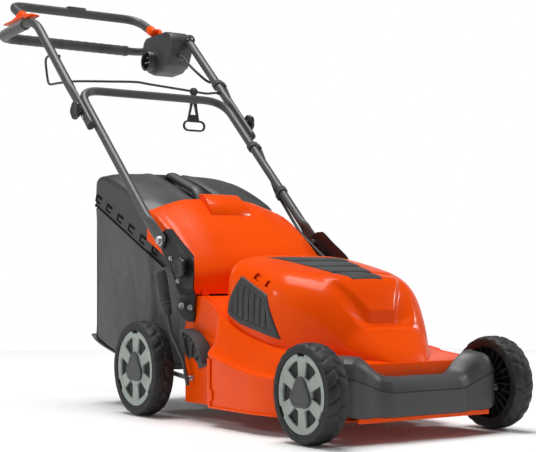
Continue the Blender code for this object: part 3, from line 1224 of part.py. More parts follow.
def clip(name, along, tube_x, tube_radius, cable_offset, carrier):
    """Cable clip: a band round the tube with an eye for the cable."""
    across, out = cable_offset
    offset = Vector((across, out))
    tangent = math.degrees(math.atan2(out, across))
    outer = (arc((0, 0), tube_radius + CLIP_WALL, tangent + 75, tangent + 285, 14)
             + arc(offset, CABLE_RADIUS + CLIP_WALL, tangent - 80, tangent + 80, 8))
    holes = [circle((0, 0), tube_radius + SEAT_GAP, 20), circle(offset, CABLE_RADIUS + SEAT_GAP, 12)]
    centre = on_handle(along, tube_x)
    frame = Matrix(((1, 0, 0, 0), (0, HANDLE_OUT.y, -HANDLE_ALONG.y, 0),
                    (0, HANDLE_OUT.z, -HANDLE_ALONG.z, 0), (0, 0, 0, 1)))
    mesh = plate_mesh(name, [outer] + holes, CLIP_LENGTH, centre, frame)
    return add_mesh(name, mesh, carrier, DARK)


def through(along, x, out=0.0):
    """Four places that lead a cable straight through its clip."""
    return [on_handle(along + step, x, out) for step in (0.018, 0.008, -0.008, -0.018)]


def cables():
    """Power cable from the switch box, down the left tubes through three clips, into the hood."""
    outer_x = UPPER_TUBE_X + CLIP_OFFSET_UPPER
    lower_x = LOWER_TUBE_X + CLIP_OFFSET_LOWER
    fold_x = UPPER_TUBE_X + 0.009
    fold_out = -(SLEEVE_HALF_HEIGHT + CABLE_RADIUS + 0.0015)
    under = -CLIP_OFFSET_LOWER
    pivot_x = BRACKET_X - 0.0135
    down = Vector((0, -0.010, 0))
    upper = [CABLE_START, CABLE_START + down, CABLE_START + 2 * down, (UPPER_TUBE_X - 0.0215, 1.146, 0.864),
             (UPPER_TUBE_X - 0.0145, 1.112, 0.836), (UPPER_TUBE_X + 0.0035, 1.082, 0.808),
             (UPPER_TUBE_X + 0.0175, 1.062, 0.806), *through(CLIP_UPPER_AT, outer_x),
             on_handle(0.080, fold_x + 0.007, fold_out + 0.006), on_handle(0.030, fold_x, fold_out),
             on_handle(-0.020, fold_x, fold_out), on_handle(-0.045, fold_x, fold_out)]
    mesh = tube_mesh("cable_upper", smooth_path(upper, 3), CABLE_RADIUS, 2)
    add_mesh("cable_upper", mesh, upper_hinge, RUBBER)
    middle = [on_handle(-0.045 - 2.5 * SEAT_GAP, fold_x, fold_out), on_handle(-0.055, fold_x, fold_out),
              on_handle(-0.067, fold_x - 0.003, fold_out + 0.002),
              *through(CLIP_MIDDLE_AT, lower_x), on_handle(-0.170, LOWER_TUBE_X + 0.014, under + 0.008),
              on_handle(-0.220, LOWER_TUBE_X + 0.006, under + 0.002),
              *through(CLIP_LOWER_AT, LOWER_TUBE_X, under),
              (LOWER_TUBE_X - 0.008, 0.640, 0.418), (LOWER_TUBE_X - 0.018, 0.598, 0.3915),
              (pivot_x, PIVOT_Y + 0.010, PIVOT_Z + 0.0060),
              (pivot_x, PIVOT_Y - 0.002, PIVOT_Z - 0.0012), (pivot_x, PIVOT_Y - 0.012, PIVOT_Z - 0.0072)]
    mesh = tube_mesh("cable_middle", smooth_path(middle, 3), CABLE_RADIUS, 2)
    add_mesh("cable_middle", mesh, lower_hinge, RUBBER)
    last = [(pivot_x, PIVOT_Y - 0.0124, PIVOT_Z - 0.0075), (pivot_x, PIVOT_Y - 0.0224, PIVOT_Z - 0.0135),
            (pivot_x, 0.515, 0.341), (pivot_x, 0.470, 0.316), (pivot_x, 0.430, 0.296),
            *(CABLE_END + share * CABLE_ENTRY for share in (2.2, 1.4, 0.7, 0.0))]
    mesh = tube_mesh("cable_hood", smooth_path(last, 3), CABLE_RADIUS, 2)
    add_mesh("cable_hood", mesh, mower, RUBBER)
    clip("cable_clip_upper", CLIP_UPPER_AT, UPPER_TUBE_X, UPPER_TUBE_RADIUS, (CLIP_OFFSET_UPPER, 0),
         upper_hinge)
    clip("cable_clip_middle", CLIP_MIDDLE_AT, LOWER_TUBE_X, LOWER_TUBE_RADIUS, (CLIP_OFFSET_LOWER, 0),
         lower_hinge)
    clip("cable_clip_lower", CLIP_LOWER_AT, LOWER_TUBE_X, LOWER_TUBE_RADIUS, (0, under), lower_hinge)


deck()
hood()
hood_grille()
front_bumper()
rotor()
carrier_rod("rear_axle", REAR_PIVOT, WHEELBASE, REAR_WHEEL_RADIUS, REAR_CRANK,
            LINK_RADIUS + RUN_GAP, rear_carrier)
carrier_rod("front_axle", FRONT_PIVOT, 0.0, FRONT_WHEEL_RADIUS, FRONT_CRANK,
            LINK_RADIUS + LINK_SLACK, front_carrier)
link_rod()
height_lever()
lever_guard()
lower_handle()
upper_handle()
handle_grip()
switch_box()
power_inlet()
lock_button()
opc_bail()
bail_brackets()
rear_flap()
flap_hinge_rod()
collector_lid()
collector_bag()
collector_bottom()
collector_handle()
cord_guide()
cord_retainer()
cables()
for side_sign, side_label in BOTH_SIDES:
    side_vent(side_sign, side_label)
    wheel("front", side_sign, side_label, FRONT_WHEEL_RADIUS, 0.0, FRONT_WHEEL_RADIUS, front_carrier)
    wheel("rear", side_sign, side_label, REAR_WHEEL_RADIUS, WHEELBASE, REAR_WHEEL_RADIUS, rear_carrier)
    handle_bracket(side_sign, side_label)
    handle_bolt(side_sign, side_label)
    knob("bracket_knob_" + side_label, side_sign, BRACKET_KNOB_Y, BRACKET_KNOB_Z,
         BRACKET_X + BRACKET_THICKNESS / 2 + SEAT_GAP, BRACKET_X - 0.008, mower)
    knob("mid_knob_" + side_label, side_sign, FOLD_Y, FOLD_Z,
         UPPER_TUBE_X + SLEEVE_HALF_THICKNESS + SEAT_GAP, LOWER_TUBE_X - LOWER_TUBE_RADIUS - 0.006,
         upper_hinge)
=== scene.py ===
import math
import random
import bpy
from mathutils import Matrix, Vector


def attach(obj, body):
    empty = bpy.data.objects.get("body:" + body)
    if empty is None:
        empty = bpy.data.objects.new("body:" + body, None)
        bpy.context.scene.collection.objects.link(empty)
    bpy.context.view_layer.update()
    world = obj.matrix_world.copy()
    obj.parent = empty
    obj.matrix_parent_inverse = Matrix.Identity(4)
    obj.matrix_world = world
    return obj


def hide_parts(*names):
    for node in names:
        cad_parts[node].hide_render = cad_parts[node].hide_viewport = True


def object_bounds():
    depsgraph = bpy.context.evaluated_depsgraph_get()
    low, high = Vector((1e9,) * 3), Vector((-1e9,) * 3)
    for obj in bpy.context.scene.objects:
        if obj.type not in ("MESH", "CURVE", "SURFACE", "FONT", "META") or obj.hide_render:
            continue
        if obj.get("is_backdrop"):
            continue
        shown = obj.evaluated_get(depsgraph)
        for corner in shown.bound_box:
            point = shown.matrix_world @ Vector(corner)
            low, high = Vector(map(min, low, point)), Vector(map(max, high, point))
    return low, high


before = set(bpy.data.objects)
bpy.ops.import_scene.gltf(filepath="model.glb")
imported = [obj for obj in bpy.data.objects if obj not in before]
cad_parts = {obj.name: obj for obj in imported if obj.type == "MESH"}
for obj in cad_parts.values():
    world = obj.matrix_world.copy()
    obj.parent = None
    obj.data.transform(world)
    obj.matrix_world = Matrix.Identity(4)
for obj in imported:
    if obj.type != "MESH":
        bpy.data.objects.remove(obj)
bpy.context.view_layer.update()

# The view
# A camera low in front of the mower's right corner, a plain pale floor and three soft studio
# lamps: a broad one above and a small one at each side.

viewpoint = bpy.data.cameras.new("viewpoint")
viewpoint.lens = 85.82
viewpoint.sensor_width = 36
viewpoint.shift_x = -0.02132
viewpoint.shift_y = -0.00254
viewpoint.clip_start = 0.05
camera = bpy.data.objects.new("viewpoint", viewpoint)
camera.location = (-1.4734, -2.4873, 0.2794)
camera.rotation_euler = [math.radians(angle) for angle in (92.5822, 0.3345, -33.5674)]
bpy.context.scene.collection.objects.link(camera)
bpy.context.scene.camera = camera
bpy.context.scene.view_settings.view_transform = "Standard"

# Walls that look white and shed a softer light, and a dimmer ceiling
studio = bpy.data.worlds.new("studio")
studio.use_nodes = True
nodes, links = studio.node_tree.nodes, studio.node_tree.links
direction = nodes.new("ShaderNodeTexCoord")
upward = nodes.new("ShaderNodeSeparateXYZ")
ceiling = nodes.new("ShaderNodeMapRange")
ceiling.interpolation_type = "SMOOTHSTEP"
for socket, value in (("From Min", 0.25), ("From Max", 0.34), ("To Min", 1.0), ("To Max", 0.14)):
    ceiling.inputs[socket].default_value = value
links.new(direction.outputs["Generated"], upward.inputs[0])
links.new(upward.outputs["Z"], ceiling.inputs["Value"])
seen = nodes.new("ShaderNodeLightPath")
shed = nodes.new("ShaderNodeMath")
shed.operation = "MAXIMUM"
dimmed = nodes.new("ShaderNodeMath")
dimmed.operation = "MULTIPLY"
dimmed.inputs[1].default_value = 0.62
links.new(ceiling.outputs["Result"], dimmed.inputs[0])
links.new(dimmed.outputs[0], shed.inputs[0])
links.new(seen.outputs["Is Camera Ray"], shed.inputs[1])
links.new(shed.outputs[0], nodes["Background"].inputs["Strength"])
nodes["Background"].inputs["Color"].default_value = (1.0, 1.0, 1.0, 1.0)
bpy.context.scene.world = studio


def lamp(name, place, target, size, power):
    """A square soft lamp at a place, turned to a target."""
    light = bpy.data.lights.new(name, "AREA")
    light.size = size
    light.energy = power
    holder = bpy.data.objects.new(name, light)
    holder.location = place
    holder.rotation_euler = (Vector(target) - Vector(place)).to_track_quat("-Z", "Y").to_euler()
    bpy.context.scene.collection.objects.link(holder)


lamp("lamp_above", (-0.3, 0.8, 7.0), (0, 0.2, 0.0), 4.0, 500)
lamp("lamp_left", (-2.6, 0.9, 1.7), (0, 0, 0.3), 0.4, 14)
lamp("lamp_right", (2.8, -1.2, 1.9), (0, 0, 0.3), 0.5, 26)

bpy.ops.object.select_all(action="DESELECT")
bpy.ops.mesh.primitive_circle_add(vertices=128, radius=2.6, fill_type="NGON", location=(0, 0, 0))
floor = bpy.context.object
floor.name = "studio_floor"


class Signal:
    """A number that changes over a surface: arithmetic on it adds Math nodes."""

    def __init__(self, finish, socket):
        self.finish = finish
        self.socket = socket

    def joined(self, operation, first, second):
        made = self.finish.node("ShaderNodeMath", {"operation": operation}, {0: first, 1: second})
        return Signal(self.finish, made)

    def __add__(self, other):
        return self.joined("ADD", self, other)

    def __sub__(self, other):
        return self.joined("SUBTRACT", self, other)

    def __rsub__(self, other):
        return self.joined("SUBTRACT", other, self)

    def __mul__(self, other):
        return self.joined("MULTIPLY", self, other)

    def __abs__(self):
        return self.joined("ABSOLUTE", self, 0.0)

    def wave(self, scale):
        """A sine of this number."""
        return self.joined("SINE", self * scale, 0.0)

    def spread(self, low, high, start=0.0, end=1.0):
        """This number between low and high, stretched to run from start to end."""
        made = self.finish.node("ShaderNodeMapRange", {"clamp": True},
                                {0: self, 1: low, 2: high, 3: start, 4: end})
        return Signal(self.finish, made)


class Finish:
    """A procedural material: constants go on its shader, and what varies is fed in."""

    def __init__(self, name, **constants):
        self.look = bpy.data.materials.new(name)
        self.look.use_nodes = True
        self.tree = self.look.node_tree
        self.shader = self.tree.nodes["Principled BSDF"]
        for socket, value in constants.items():
            socket = socket.replace("_", " ").title().replace("Ior", "IOR")
            self.shader.inputs[socket].default_value = value
        self.place = self.node("ShaderNodeTexCoord", {}, {}, "Object")

    def node(self, kind, settings, sockets, output=0):
        """Add a node: its settings first, then the values or links of its sockets."""
        made = self.tree.nodes.new(kind)
        for name, value in settings.items():
            setattr(made, name, value)
        for name, value in sockets.items():
            source = value.socket if isinstance(value, Signal) else value
            if isinstance(source, bpy.types.NodeSocket):
                self.tree.links.new(source, made.inputs[name])
            else:
                made.inputs[name].default_value = source
        return made.outputs[output]

    def noise(self, scale, detail=2.0, stretch=None):
        """Noise at so many lumps to the metre, stretched along an axis if told so."""
        place = self.place
        if stretch:
            place = self.node("ShaderNodeMapping", {}, {"Vector": place, "Scale": stretch})
        made = self.node("ShaderNodeTexNoise", {}, {"Vector": place, "Scale": scale, "Detail": detail})
        return Signal(self, made)

    def axis(self, name):
        """One coordinate of the place, in metres."""
        return Signal(self, self.node("ShaderNodeSeparateXYZ", {}, {0: self.place}, name))

    def mixed(self, share, first, second):
        """One colour turning into another."""
        first, second = ((*c, 1.0) if isinstance(c, tuple) else c for c in (first, second))
        return self.node("ShaderNodeMix", {"data_type": "RGBA"}, {0: share, 6: first, 7: second}, 2)

    def feed(self, name, value):
        """Link a varying value to the shader."""
        source = value.socket if isinstance(value, Signal) else value
        self.tree.links.new(source, self.shader.inputs[name])

    def relief(self, height, distance, strength=1.0):
        """Raise the surface by a height in the shader's normal."""
        self.feed("Normal", self.node("ShaderNodeBump", {},
                                      {"Height": height, "Distance": distance, "Strength": strength}))


def plain(name, dull, bright, tone, gloss, bump=None, **constants):
    """A finish from noise alone. Each of the three starts with lumps to the metre and detail: tone
    goes on with the levels of the dull and the bright colour, gloss with the least and the most
    roughness, and bump with its height and strength."""
    made = Finish(name, **constants)
    made.feed("Base Color", made.mixed(made.noise(*tone[:2]).spread(*tone[2:]), dull, bright))
    made.feed("Roughness", made.noise(*gloss[:2]).spread(0.3, 0.7, *gloss[2:]))
    if bump:
        made.relief(made.noise(*bump[:2]), *bump[2:])
    return made.look


# Matt white vinyl, very slightly mottled
floor.data.materials.append(plain("floor_vinyl", (0.955, 0.955, 0.955), (0.975, 0.975, 0.975),
                                  (3, 3, 0, 1), (3, 3, 0.75, 0.9), (120, 2, 0.0005, 0.1)))
floor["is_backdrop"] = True

# Deck
# The cutter housing: one orange moulding with an upright skirt, a ledge, a hollow shoulder and
# a grooved top, open below and with a mouth behind. A flat apron under the bumper is screwed on.

FRONT_AXLE_Y = -0.6804


def between(table, y):
    """Read a table of (y, value) in straight lines."""
    if y <= table[0][0]:
        return table[0][1]
    for (y0, v0), (y1, v1) in zip(table, table[1:]):
        if y <= y1:
            return v0 + (v1 - v0) * (y - y0) / (y1 - y0)
    return table[-1][1]


def flow(table, y):
    """Read a table of (y, value) along a smooth curve through its rows."""
    if y <= table[0][0]:
        return table[0][1]
    if y >= table[-1][0]:
        return table[-1][1]
    k = max(i for i in range(len(table) - 1) if table[i][0] <= y)
    (y0, v0), (y1, v1) = table[k], table[k + 1]

    def slope(i):
        if 0 < i < len(table) - 1:
            return (table[i + 1][1] - table[i - 1][1]) / (table[i + 1][0] - table[i - 1][0])
        j = min(i, len(table) - 2)
        return (table[j + 1][1] - table[j][1]) / (table[j + 1][0] - table[j][0])

    step = y1 - y0
    t = (y - y0) / step
    return ((2 * t**3 - 3 * t**2 + 1) * v0 + (t**3 - 2 * t**2 + t) * step * slope(k)
            + (3 * t**2 - 2 * t**3) * v1 + (t**3 - t**2) * step * slope(k + 1))


def cornered(points, radius, steps=6):
    """A path through points, with each corner turned into an arc."""
    points = [Vector(point) for point in points]
    path = [points[0]]
    for before, corner, after in zip(points, points[1:], points[2:]):
        back, ahead = before - corner, after - corner
        reach = min(radius, 0.48 * back.length, 0.48 * ahead.length)
        first, last = corner + back.normalized() * reach, corner + ahead.normalized() * reach
        for i in range(steps + 1):
            t = i / steps
            path.append((1 - t) ** 2 * first + 2 * t * (1 - t) * corner + t * t * last)
    path.append(points[-1])
    return path


def travelled(path):
    """How far along a path each of its points is."""
    reach = [0.0]
    for a, b in zip(path, path[1:]):
        reach.append(reach[-1] + (b - a).length)
    return reach


def spaced(path, count):
    """The same path as count + 1 evenly spaced points."""
    path = [Vector(point) for point in path]
    reach = travelled(path)
    made, k = [], 0
    for i in range(count + 1):
        goal = reach[-1] * i / count
        while k < len(path) - 2 and reach[k + 1] < goal:
            k += 1
        share = (goal - reach[k]) / max(1e-9, reach[k + 1] - reach[k])
        made.append(path[k].lerp(path[k + 1], min(1.0, share)))
    return made


def picked(*pieces):
    """Select these pieces and nothing else, with the first one active."""
    bpy.ops.object.select_all(action="DESELECT")
    for piece in pieces:
        piece.select_set(True)
    bpy.context.view_layer.objects.active = pieces[0]
    return pieces[0]


def weld(piece):
    """Merge a piece's doubles and point its faces outwards."""
    picked(piece)
    bpy.ops.object.mode_set(mode="EDIT")
    bpy.ops.mesh.select_all(action="SELECT")
    bpy.ops.mesh.remove_doubles(threshold=0.00002)
    bpy.ops.mesh.dissolve_degenerate(threshold=0.00001)
    bpy.ops.mesh.normals_make_consistent(inside=False)
    bpy.ops.object.mode_set(mode="OBJECT")
    return piece


def formed(name, columns, rows, place, inside=None):
    """A skin pressed from a grid: each corner is seated by place(column, row)."""
    bpy.ops.object.select_all(action="DESELECT")
    bpy.ops.mesh.primitive_grid_add(x_subdivisions=columns, y_subdivisions=rows, size=1)
    piece = bpy.context.object
    piece.name = piece.data.name = name
    for corner in piece.data.vertices:
        column = round((corner.co.x + 0.5) * columns)
        row = round((corner.co.y + 0.5) * rows)
        corner.co = place(column, row)
    weld(piece)
    if inside:
        faces = piece.data.polygons
        if sum((face.center - Vector(inside)).dot(face.normal) * face.area for face in faces) < 0:
            piece.data.flip_normals()
    return piece


def adjusted(piece, kind, **settings):
    """Give the piece a modifier and apply it."""
    picked(piece)
    step = piece.modifiers.new(kind.title(), kind)
    for name, value in settings.items():
        setattr(step, name, value)
    bpy.ops.object.modifier_apply(modifier=step.name)
    return piece


def walled(piece, thickness, offset=-1.0):
    """Give an open skin its wall, on the inner side unless told otherwise."""
    return adjusted(piece, "SOLIDIFY", thickness=thickness, offset=offset)


def bevelled(piece, width, angle, segments=2):
    """Ease the edges that turn by more than an angle."""
    return adjusted(piece, "BEVEL", width=width, segments=segments, limit_method="ANGLE",
                    angle_limit=math.radians(angle))


def combined(piece, tool, operation="DIFFERENCE"):
    """Cut a tool out of a piece, or join it on, and drop the tool."""
    adjusted(piece, "BOOLEAN", operation=operation, object=tool, solver="EXACT")
    bpy.data.objects.remove(tool, do_unlink=True)
    return piece


FLAT = Matrix()


def plate(name, outline, thickness, lay=FLAT, place=(0, 0, 0), edge=0.0):
    """A plate cut to an outline, thickened both ways from its middle, with eased edges."""
    bpy.ops.object.select_all(action="DESELECT")
    bpy.ops.mesh.primitive_circle_add(vertices=len(outline), radius=1, fill_type="NGON")
    piece = bpy.context.object
    piece.name = piece.data.name = name
    for corner, point in zip(piece.data.vertices, outline):
        corner.co = (point[0], point[1], -thickness / 2)
    bpy.ops.object.mode_set(mode="EDIT")
    bpy.ops.mesh.select_all(action="SELECT")
    bpy.ops.mesh.extrude_region_move(TRANSFORM_OT_translate={"value": (0, 0, thickness)})
    bpy.ops.mesh.select_all(action="SELECT")
    bpy.ops.mesh.normals_make_consistent(inside=False)
    bpy.ops.object.mode_set(mode="OBJECT")
    if edge:
        bevelled(piece, edge, 40)
    piece.data.transform(Matrix.Translation(place) @ lay)
    return piece


def block(name, low, high, edge=0.0):
    """A rectangular piece between two corners, with eased edges."""
    low, high = Vector(low), Vector(high)
    middle, half = (low + high) / 2, (high - low) / 2
    outline = ((-half.x, -half.y), (half.x, -half.y), (half.x, half.y), (-half.x, half.y))
    return plate(name, outline, 2 * half.z, FLAT, middle, edge)


def joined(name, *pieces):
    """One piece out of several."""
    first = picked(*pieces)
    if len(pieces) > 1:
        bpy.ops.object.join()
    first.name = first.data.name = name
    return first


def settle(piece, look, body, slot, nodes=(), crease=35):
    """Seat a finished piece in the frame, give it its finish and let it ride on its body."""
    piece.data.transform(Matrix.Translation((0, FRONT_AXLE_Y, 0)))
    piece.data.materials.clear()
    piece.data.materials.append(look)
    picked(piece)
    bpy.ops.object.shade_smooth_by_angle(angle=math.radians(crease))
    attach(piece, body)
    if nodes:
        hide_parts(*nodes)
    return piece


def orange_finish():
    """Glossy orange moulding: deep even colour, faint flow marks and a slight orange peel."""
    made = Finish("orange_moulding", coat_roughness=0.07, ior=1.15, coat_ior=1.4)
    flow_marks = made.noise(9.0, 4.0)
    specks = made.noise(600.0, 2.0)
    tone = flow_marks.spread(0.3, 0.7) * 0.8 + specks.spread(0.55, 0.75) * 0.2
    made.feed("Base Color", made.mixed(tone, (0.9, 0.074, 0.0006), (0.97, 0.092, 0.0012)))
    made.feed("Roughness", flow_marks.spread(0.3, 0.7, 0.26, 0.36))
    made.feed("Coat Weight", made.noise(40.0).spread(0.3, 0.7, 0.17, 0.27))
    made.relief(made.noise(420.0, 2.0), 0.0002, 0.12)
    return made.look


orange = orange_finish()

DECK_HALF = ((0, -0.022), (0.1, -0.022), (0.152, -0.012), (0.168, 0.012), (0.166, 0.05), (0.163, 0.104),
             (0.198, 0.13), (0.207, 0.2), (0.207, 0.29), (0.205, 0.362), (0.176, 0.373), (0.176, 0.5))
DECK_TOP = ((-0.015, 0.134), (0.014, 0.138), (0.05, 0.142), (0.1, 0.148), (0.118, 0.15), (0.2, 0.164),
            (0.29, 0.184), (0.362, 0.215), (0.373, 0.221), (0.43, 0.249), (0.4965, 0.252))
DECK_LEDGE = ((-0.022, 0.098), (0.1, 0.102), (0.12, 0.106), (0.2, 0.112), (0.29, 0.128), (0.362, 0.145),
              (0.373, 0.16), (0.5, 0.19))
TOP_AT = ((-0.022, -0.015), (-0.012, -0.006), (0.012, 0.014), (0.05, 0.05), (0.104, 0.1), (0.13, 0.118),
          (0.2, 0.2), (0.5, 0.4965))
PLATEAU_HALF = 0.1735
SKIRT_BOTTOM = 0.036
# Share of the way in to the top's edge, and share of the rise, up the hollow shoulder
SHOULDER = ((0.05, 0.0), (0.16, 0.03), (0.28, 0.1), (0.4, 0.25), (0.52, 0.44), (0.66, 0.66), (0.8, 0.84),
            (0.92, 0.96), (1.0, 1.0))
# The groove round the top's edge: distance in from it, and depth
GROOVE = ((0.002, 0.0), (0.0042, 0.0), (0.0058, 0.003), (0.0088, 0.003), (0.0104, 0.0), (0.013, 0.0))
SKIRT_ROWS, TOP_ROWS = 7, 6

half_plan = cornered(DECK_HALF, 0.012, 4)
deck_plan = [Vector((-x, y)) for x, y in reversed(half_plan[1:])] + list(half_plan)
deck_plan = spaced(deck_plan, 260)
deck_plan += spaced([deck_plan[-1], deck_plan[0]], 30)[1:]


def deck_row(point, row):
    """Height rows of the deck's skin: skirt, ledge, shoulder, groove, and across the top."""
    x, y = point
    side = math.copysign(1, x)
    top_y = between(TOP_AT, y)
    top_x = side * max(0.0, min(abs(x) - 0.0025, PLATEAU_HALF))
    low, high = flow(DECK_LEDGE, y), flow(DECK_TOP, top_y)
    skirt = ((0.0022, SKIRT_BOTTOM), (0.0022, SKIRT_BOTTOM + 0.0035), (0.0, SKIRT_BOTTOM + 0.006),
             (0.0, low - 0.0085), (0.0022, low - 0.007), (0.0026, low - 0.003), (0.0014, low - 0.0006))
    outward = Vector((x, max(y - 0.16, 0.5 * (y - 0.16)))).normalized() if y > 0.16 else Vector((side, 0))
    if y < 0.01 and abs(x) < 0.15:
        outward = Vector((0, -1))
    if y > 0.499:
        outward = Vector((0, 1))
    if row < len(skirt):
        out, z = skirt[row]
        return (x + outward.x * out, y + outward.y * out, z)
    row -= len(skirt)
    if row < len(SHOULDER):
        across, up = SHOULDER[row]
        return (x + (top_x - x) * across, y + (top_y - y) * across, low + (high - low) * up)
    row -= len(SHOULDER)
    middle_y = min(max(top_y, 0.02), 0.48)
    inward = Vector((-top_x, middle_y - top_y))
    reach = max(inward.length, 0.0001)
    if row < len(GROOVE):
        step, depth = GROOVE[row]
        share = min(1.0, step / reach)
        y_now = top_y + inward.y * share
        return (top_x + inward.x * share, y_now, flow(DECK_TOP, y_now) - depth)
    row -= len(GROOVE)
    share = min(1.0, GROOVE[-1][0] / reach)
    share += (1 - share) * (row + 1) / TOP_ROWS
    y_now = top_y + inward.y * share
    return (top_x + inward.x * share, y_now, flow(DECK_TOP, y_now))


deck = formed("deck", len(deck_plan) - 1, SKIRT_ROWS + len(SHOULDER) + len(GROOVE) + TOP_ROWS - 1,
              lambda column, row: deck_row(deck_plan[column], row), inside=(0, 0.24, 0.1))
walled(deck, 0.0025)
combined(deck, block("mouth", (-0.135, 0.47, 0.1), (0.135, 0.53, 0.232)))
settle(deck, orange, "chassis", "orange_plastic", ["deck"], crease=28)

apron = [block("deck_apron", (-0.15, -0.052, 0.039), (0.15, -0.021, 0.043), 0.0008),
         block("apron_edge", (-0.15, -0.054, 0.036), (0.15, -0.05, 0.045), 0.001)]
# An upright strip and a tab where the deck's flank steps in
for side in (-1, 1):
    for out, front, rear, low, high in ((0.2076, 0.346, 0.3565, 0.04, 0.132),
                                        (0.208, 0.338, 0.3505, 0.05, 0.072)):
        apron.append(block("corner_strip", (side * out - 0.0013, front, low),
                           (side * out + 0.0013, rear, high), 0.001))
settle(joined("deck_apron", *apron), orange, "chassis", "orange_plastic")

# Hood
# The cover over the motor: a thin glossy orange shell with a rounded nose. A recess runs round
# the nose between two shoulder ridges, and a raised panel steps down into it from the grille.

HOOD_CROWN = ((-0.01, 0.1375), (0.0, 0.15), (0.014, 0.163), (0.03, 0.177), (0.048, 0.193),
              (0.0545, 0.2005), (0.0655, 0.2215), (0.0845, 0.2485), (0.1066, 0.2725), (0.125, 0.285),
              (0.145, 0.293), (0.165, 0.2985), (0.2, 0.306), (0.245, 0.316), (0.29, 0.325),
              (0.33, 0.331), (0.362, 0.334), (0.38, 0.332), (0.392, 0.328), (0.402, 0.322))
PANEL_CROWN = ((0.066, 0.2235), (0.068, 0.2257), (0.08, 0.244), (0.092, 0.262), (0.104, 0.277),
               (0.114, 0.2865), (0.125, 0.2915), (0.145, 0.2955), (0.165, 0.2985))
PANEL_EDGE = ((0.066, 0.029), (0.0793, 0.0405), (0.0894, 0.051), (0.1009, 0.063), (0.118, 0.076),
              (0.165, 0.095))
PANEL_FALL = ((0.066, 0.004), (0.1, 0.006), (0.118, 0.012), (0.165, 0.03))
RIDGE = ((0.048, 0.052), (0.0545, 0.0606), (0.0655, 0.0726), (0.0845, 0.0832), (0.1066, 0.0918),
         (0.165, 0.105))
WALL_FOOT = ((0.069, 0.032), (0.0793, 0.0436), (0.0894, 0.0543), (0.1009, 0.0663), (0.12, 0.08))
RECESS_DEPTH = ((0.048, 0.0), (0.0545, 0.0058), (0.0655, 0.019), (0.069, 0.0215), (0.0793, 0.0135),
                (0.0894, 0.008), (0.1009, 0.003), (0.122, 0.0))
HOOD_SIDE_STEPS = 150
# Lays an outline of (y, z) in a plane across X
ACROSS = Matrix(((0, 0, 1, 0), (1, 0, 0, 0), (0, 1, 0, 0), (0, 0, 0, 1)))


def ease(t):
    """0 to 1 with soft ends."""
    t = min(1.0, max(0.0, t))
    return t * t * (3 - 2 * t)


def nose_share(y):
    """0 at the hood's tip, 1 from where its sides run straight."""
    return min(1.0, max(0.0, (y + 0.013) / 0.213))


def hood_half(y):
    """Half the hood's width at its foot."""
    tail = 0.04 * max(0.0, (y - 0.335) / 0.067) ** 1.6
    return 0.03 + 0.136 * (1 - (1 - nose_share(y)) ** 1.35) ** (1 / 1.35) - tail


def hood_power(y):
    """How square the hood's section is."""
    return 2.3 + 2.4 * nose_share(y)


def hood_foot(y):
    """Height of the hood's foot, a little under the deck's top."""
    return between(DECK_TOP, y) - 0.004


def hood_height(x, y):
    """Height of the hood's skin over a place, with the recess and the panel of the nose."""
    half, power = hood_half(y), hood_power(y)
    base = hood_foot(y)
    rise = max(0.0, 1 - min(1.0, abs(x) / half) ** power) ** (1 / power)
    z = base + (flow(HOOD_CROWN, y) - base) * rise
    if 0.048 < y < 0.165:
        ridge, foot = flow(RIDGE, y), between(WALL_FOOT, y)
        share = min(1.0, max(0.0, (ridge - abs(x)) / (ridge - foot)))
        z -= between(RECESS_DEPTH, y) * (1 - (1 - share) ** 1.8)
        fall = between(PANEL_FALL, y)
        on_panel = ease((between(PANEL_EDGE, y) + fall / 2 - abs(x)) / fall) * ease((y - 0.0665) / 0.0022)
        z += (flow(PANEL_CROWN, y) - 0.8 * x * x - z) * on_panel
    return z


def flank_reach(y, z):
    """How far out the hood's flank is at a height."""
    half, power = hood_half(y), hood_power(y)
    base = hood_foot(y)
    up = min(0.97, max(0.0, (z - base) / (flow(HOOD_CROWN, y) - base)))
    return half * (1 - up ** power) ** (1 / power)


def hood_section(y):
    """Evenly spaced places across the hood, foot to foot, as (x, z)."""
    half, power = hood_half(y), hood_power(y)
    base = hood_foot(y)
    arch = []
    for i in range(121):
        angle = math.pi / 2 * (i / 60 - 1)
        rise = max(0.0, math.cos(angle)) ** (2 / power)
        arch.append((half * math.copysign(abs(math.sin(angle)) ** (2 / power), angle),
                     base + (flow(HOOD_CROWN, y) - base) * rise, 0))
    ridge = 0.11 if y > 0.165 else flow(RIDGE, y)
    return [(p.x, hood_height(p.x, y) if abs(p.x) < ridge else p.y) for p in spaced(arch, HOOD_SIDE_STEPS)]


hood_stations = [-0.01, -0.008, -0.005, -0.001, 0.004, 0.01, 0.016, 0.022, 0.028, 0.034, 0.039, 0.043, 0.046,
                 0.048, 0.05]
hood_stations += [0.052 + 0.002 * i for i in range(8)] + [0.0672, 0.0678, 0.0684, 0.069]
hood_stations += [0.071 + 0.003 * i for i in range(20)] + [0.134 + 0.008 * i for i in range(32)]
hood_stations += [0.388, 0.392, 0.396]
hood_sections = [hood_section(y) for y in hood_stations]
# Rows behind the last station: the rear edge rounds over and drops to the deck
HOOD_BACK = ((0.3995, 0.995, 0.985), (0.4015, 0.99, 0.955), (0.402, 0.988, 0.9), (0.402, 0.985, 0.45),
             (0.402, 0.985, 0.0))


def hood_place(column, row):
    """Nose foot, the stations, then the rear wall."""
    if row == 0:
        return (hood_sections[0][column][0] * 0.86, -0.0135, hood_foot(-0.01))
    row -= 1
    if row < len(hood_stations):
        x, z = hood_sections[row][column]
        return (x, hood_stations[row], z)
    y, narrow, up = HOOD_BACK[row - len(hood_stations)]
    x, z = hood_sections[-1][column]
    base = hood_foot(0.396)
    return (x * narrow, y, base + (z - base) * up)


def trapezoid(front, rear, y0, y1):
    """Outline seen from above, wider at its rear."""
    return [(-front, y0), (front, y0), (rear, y1), (-rear, y1)]


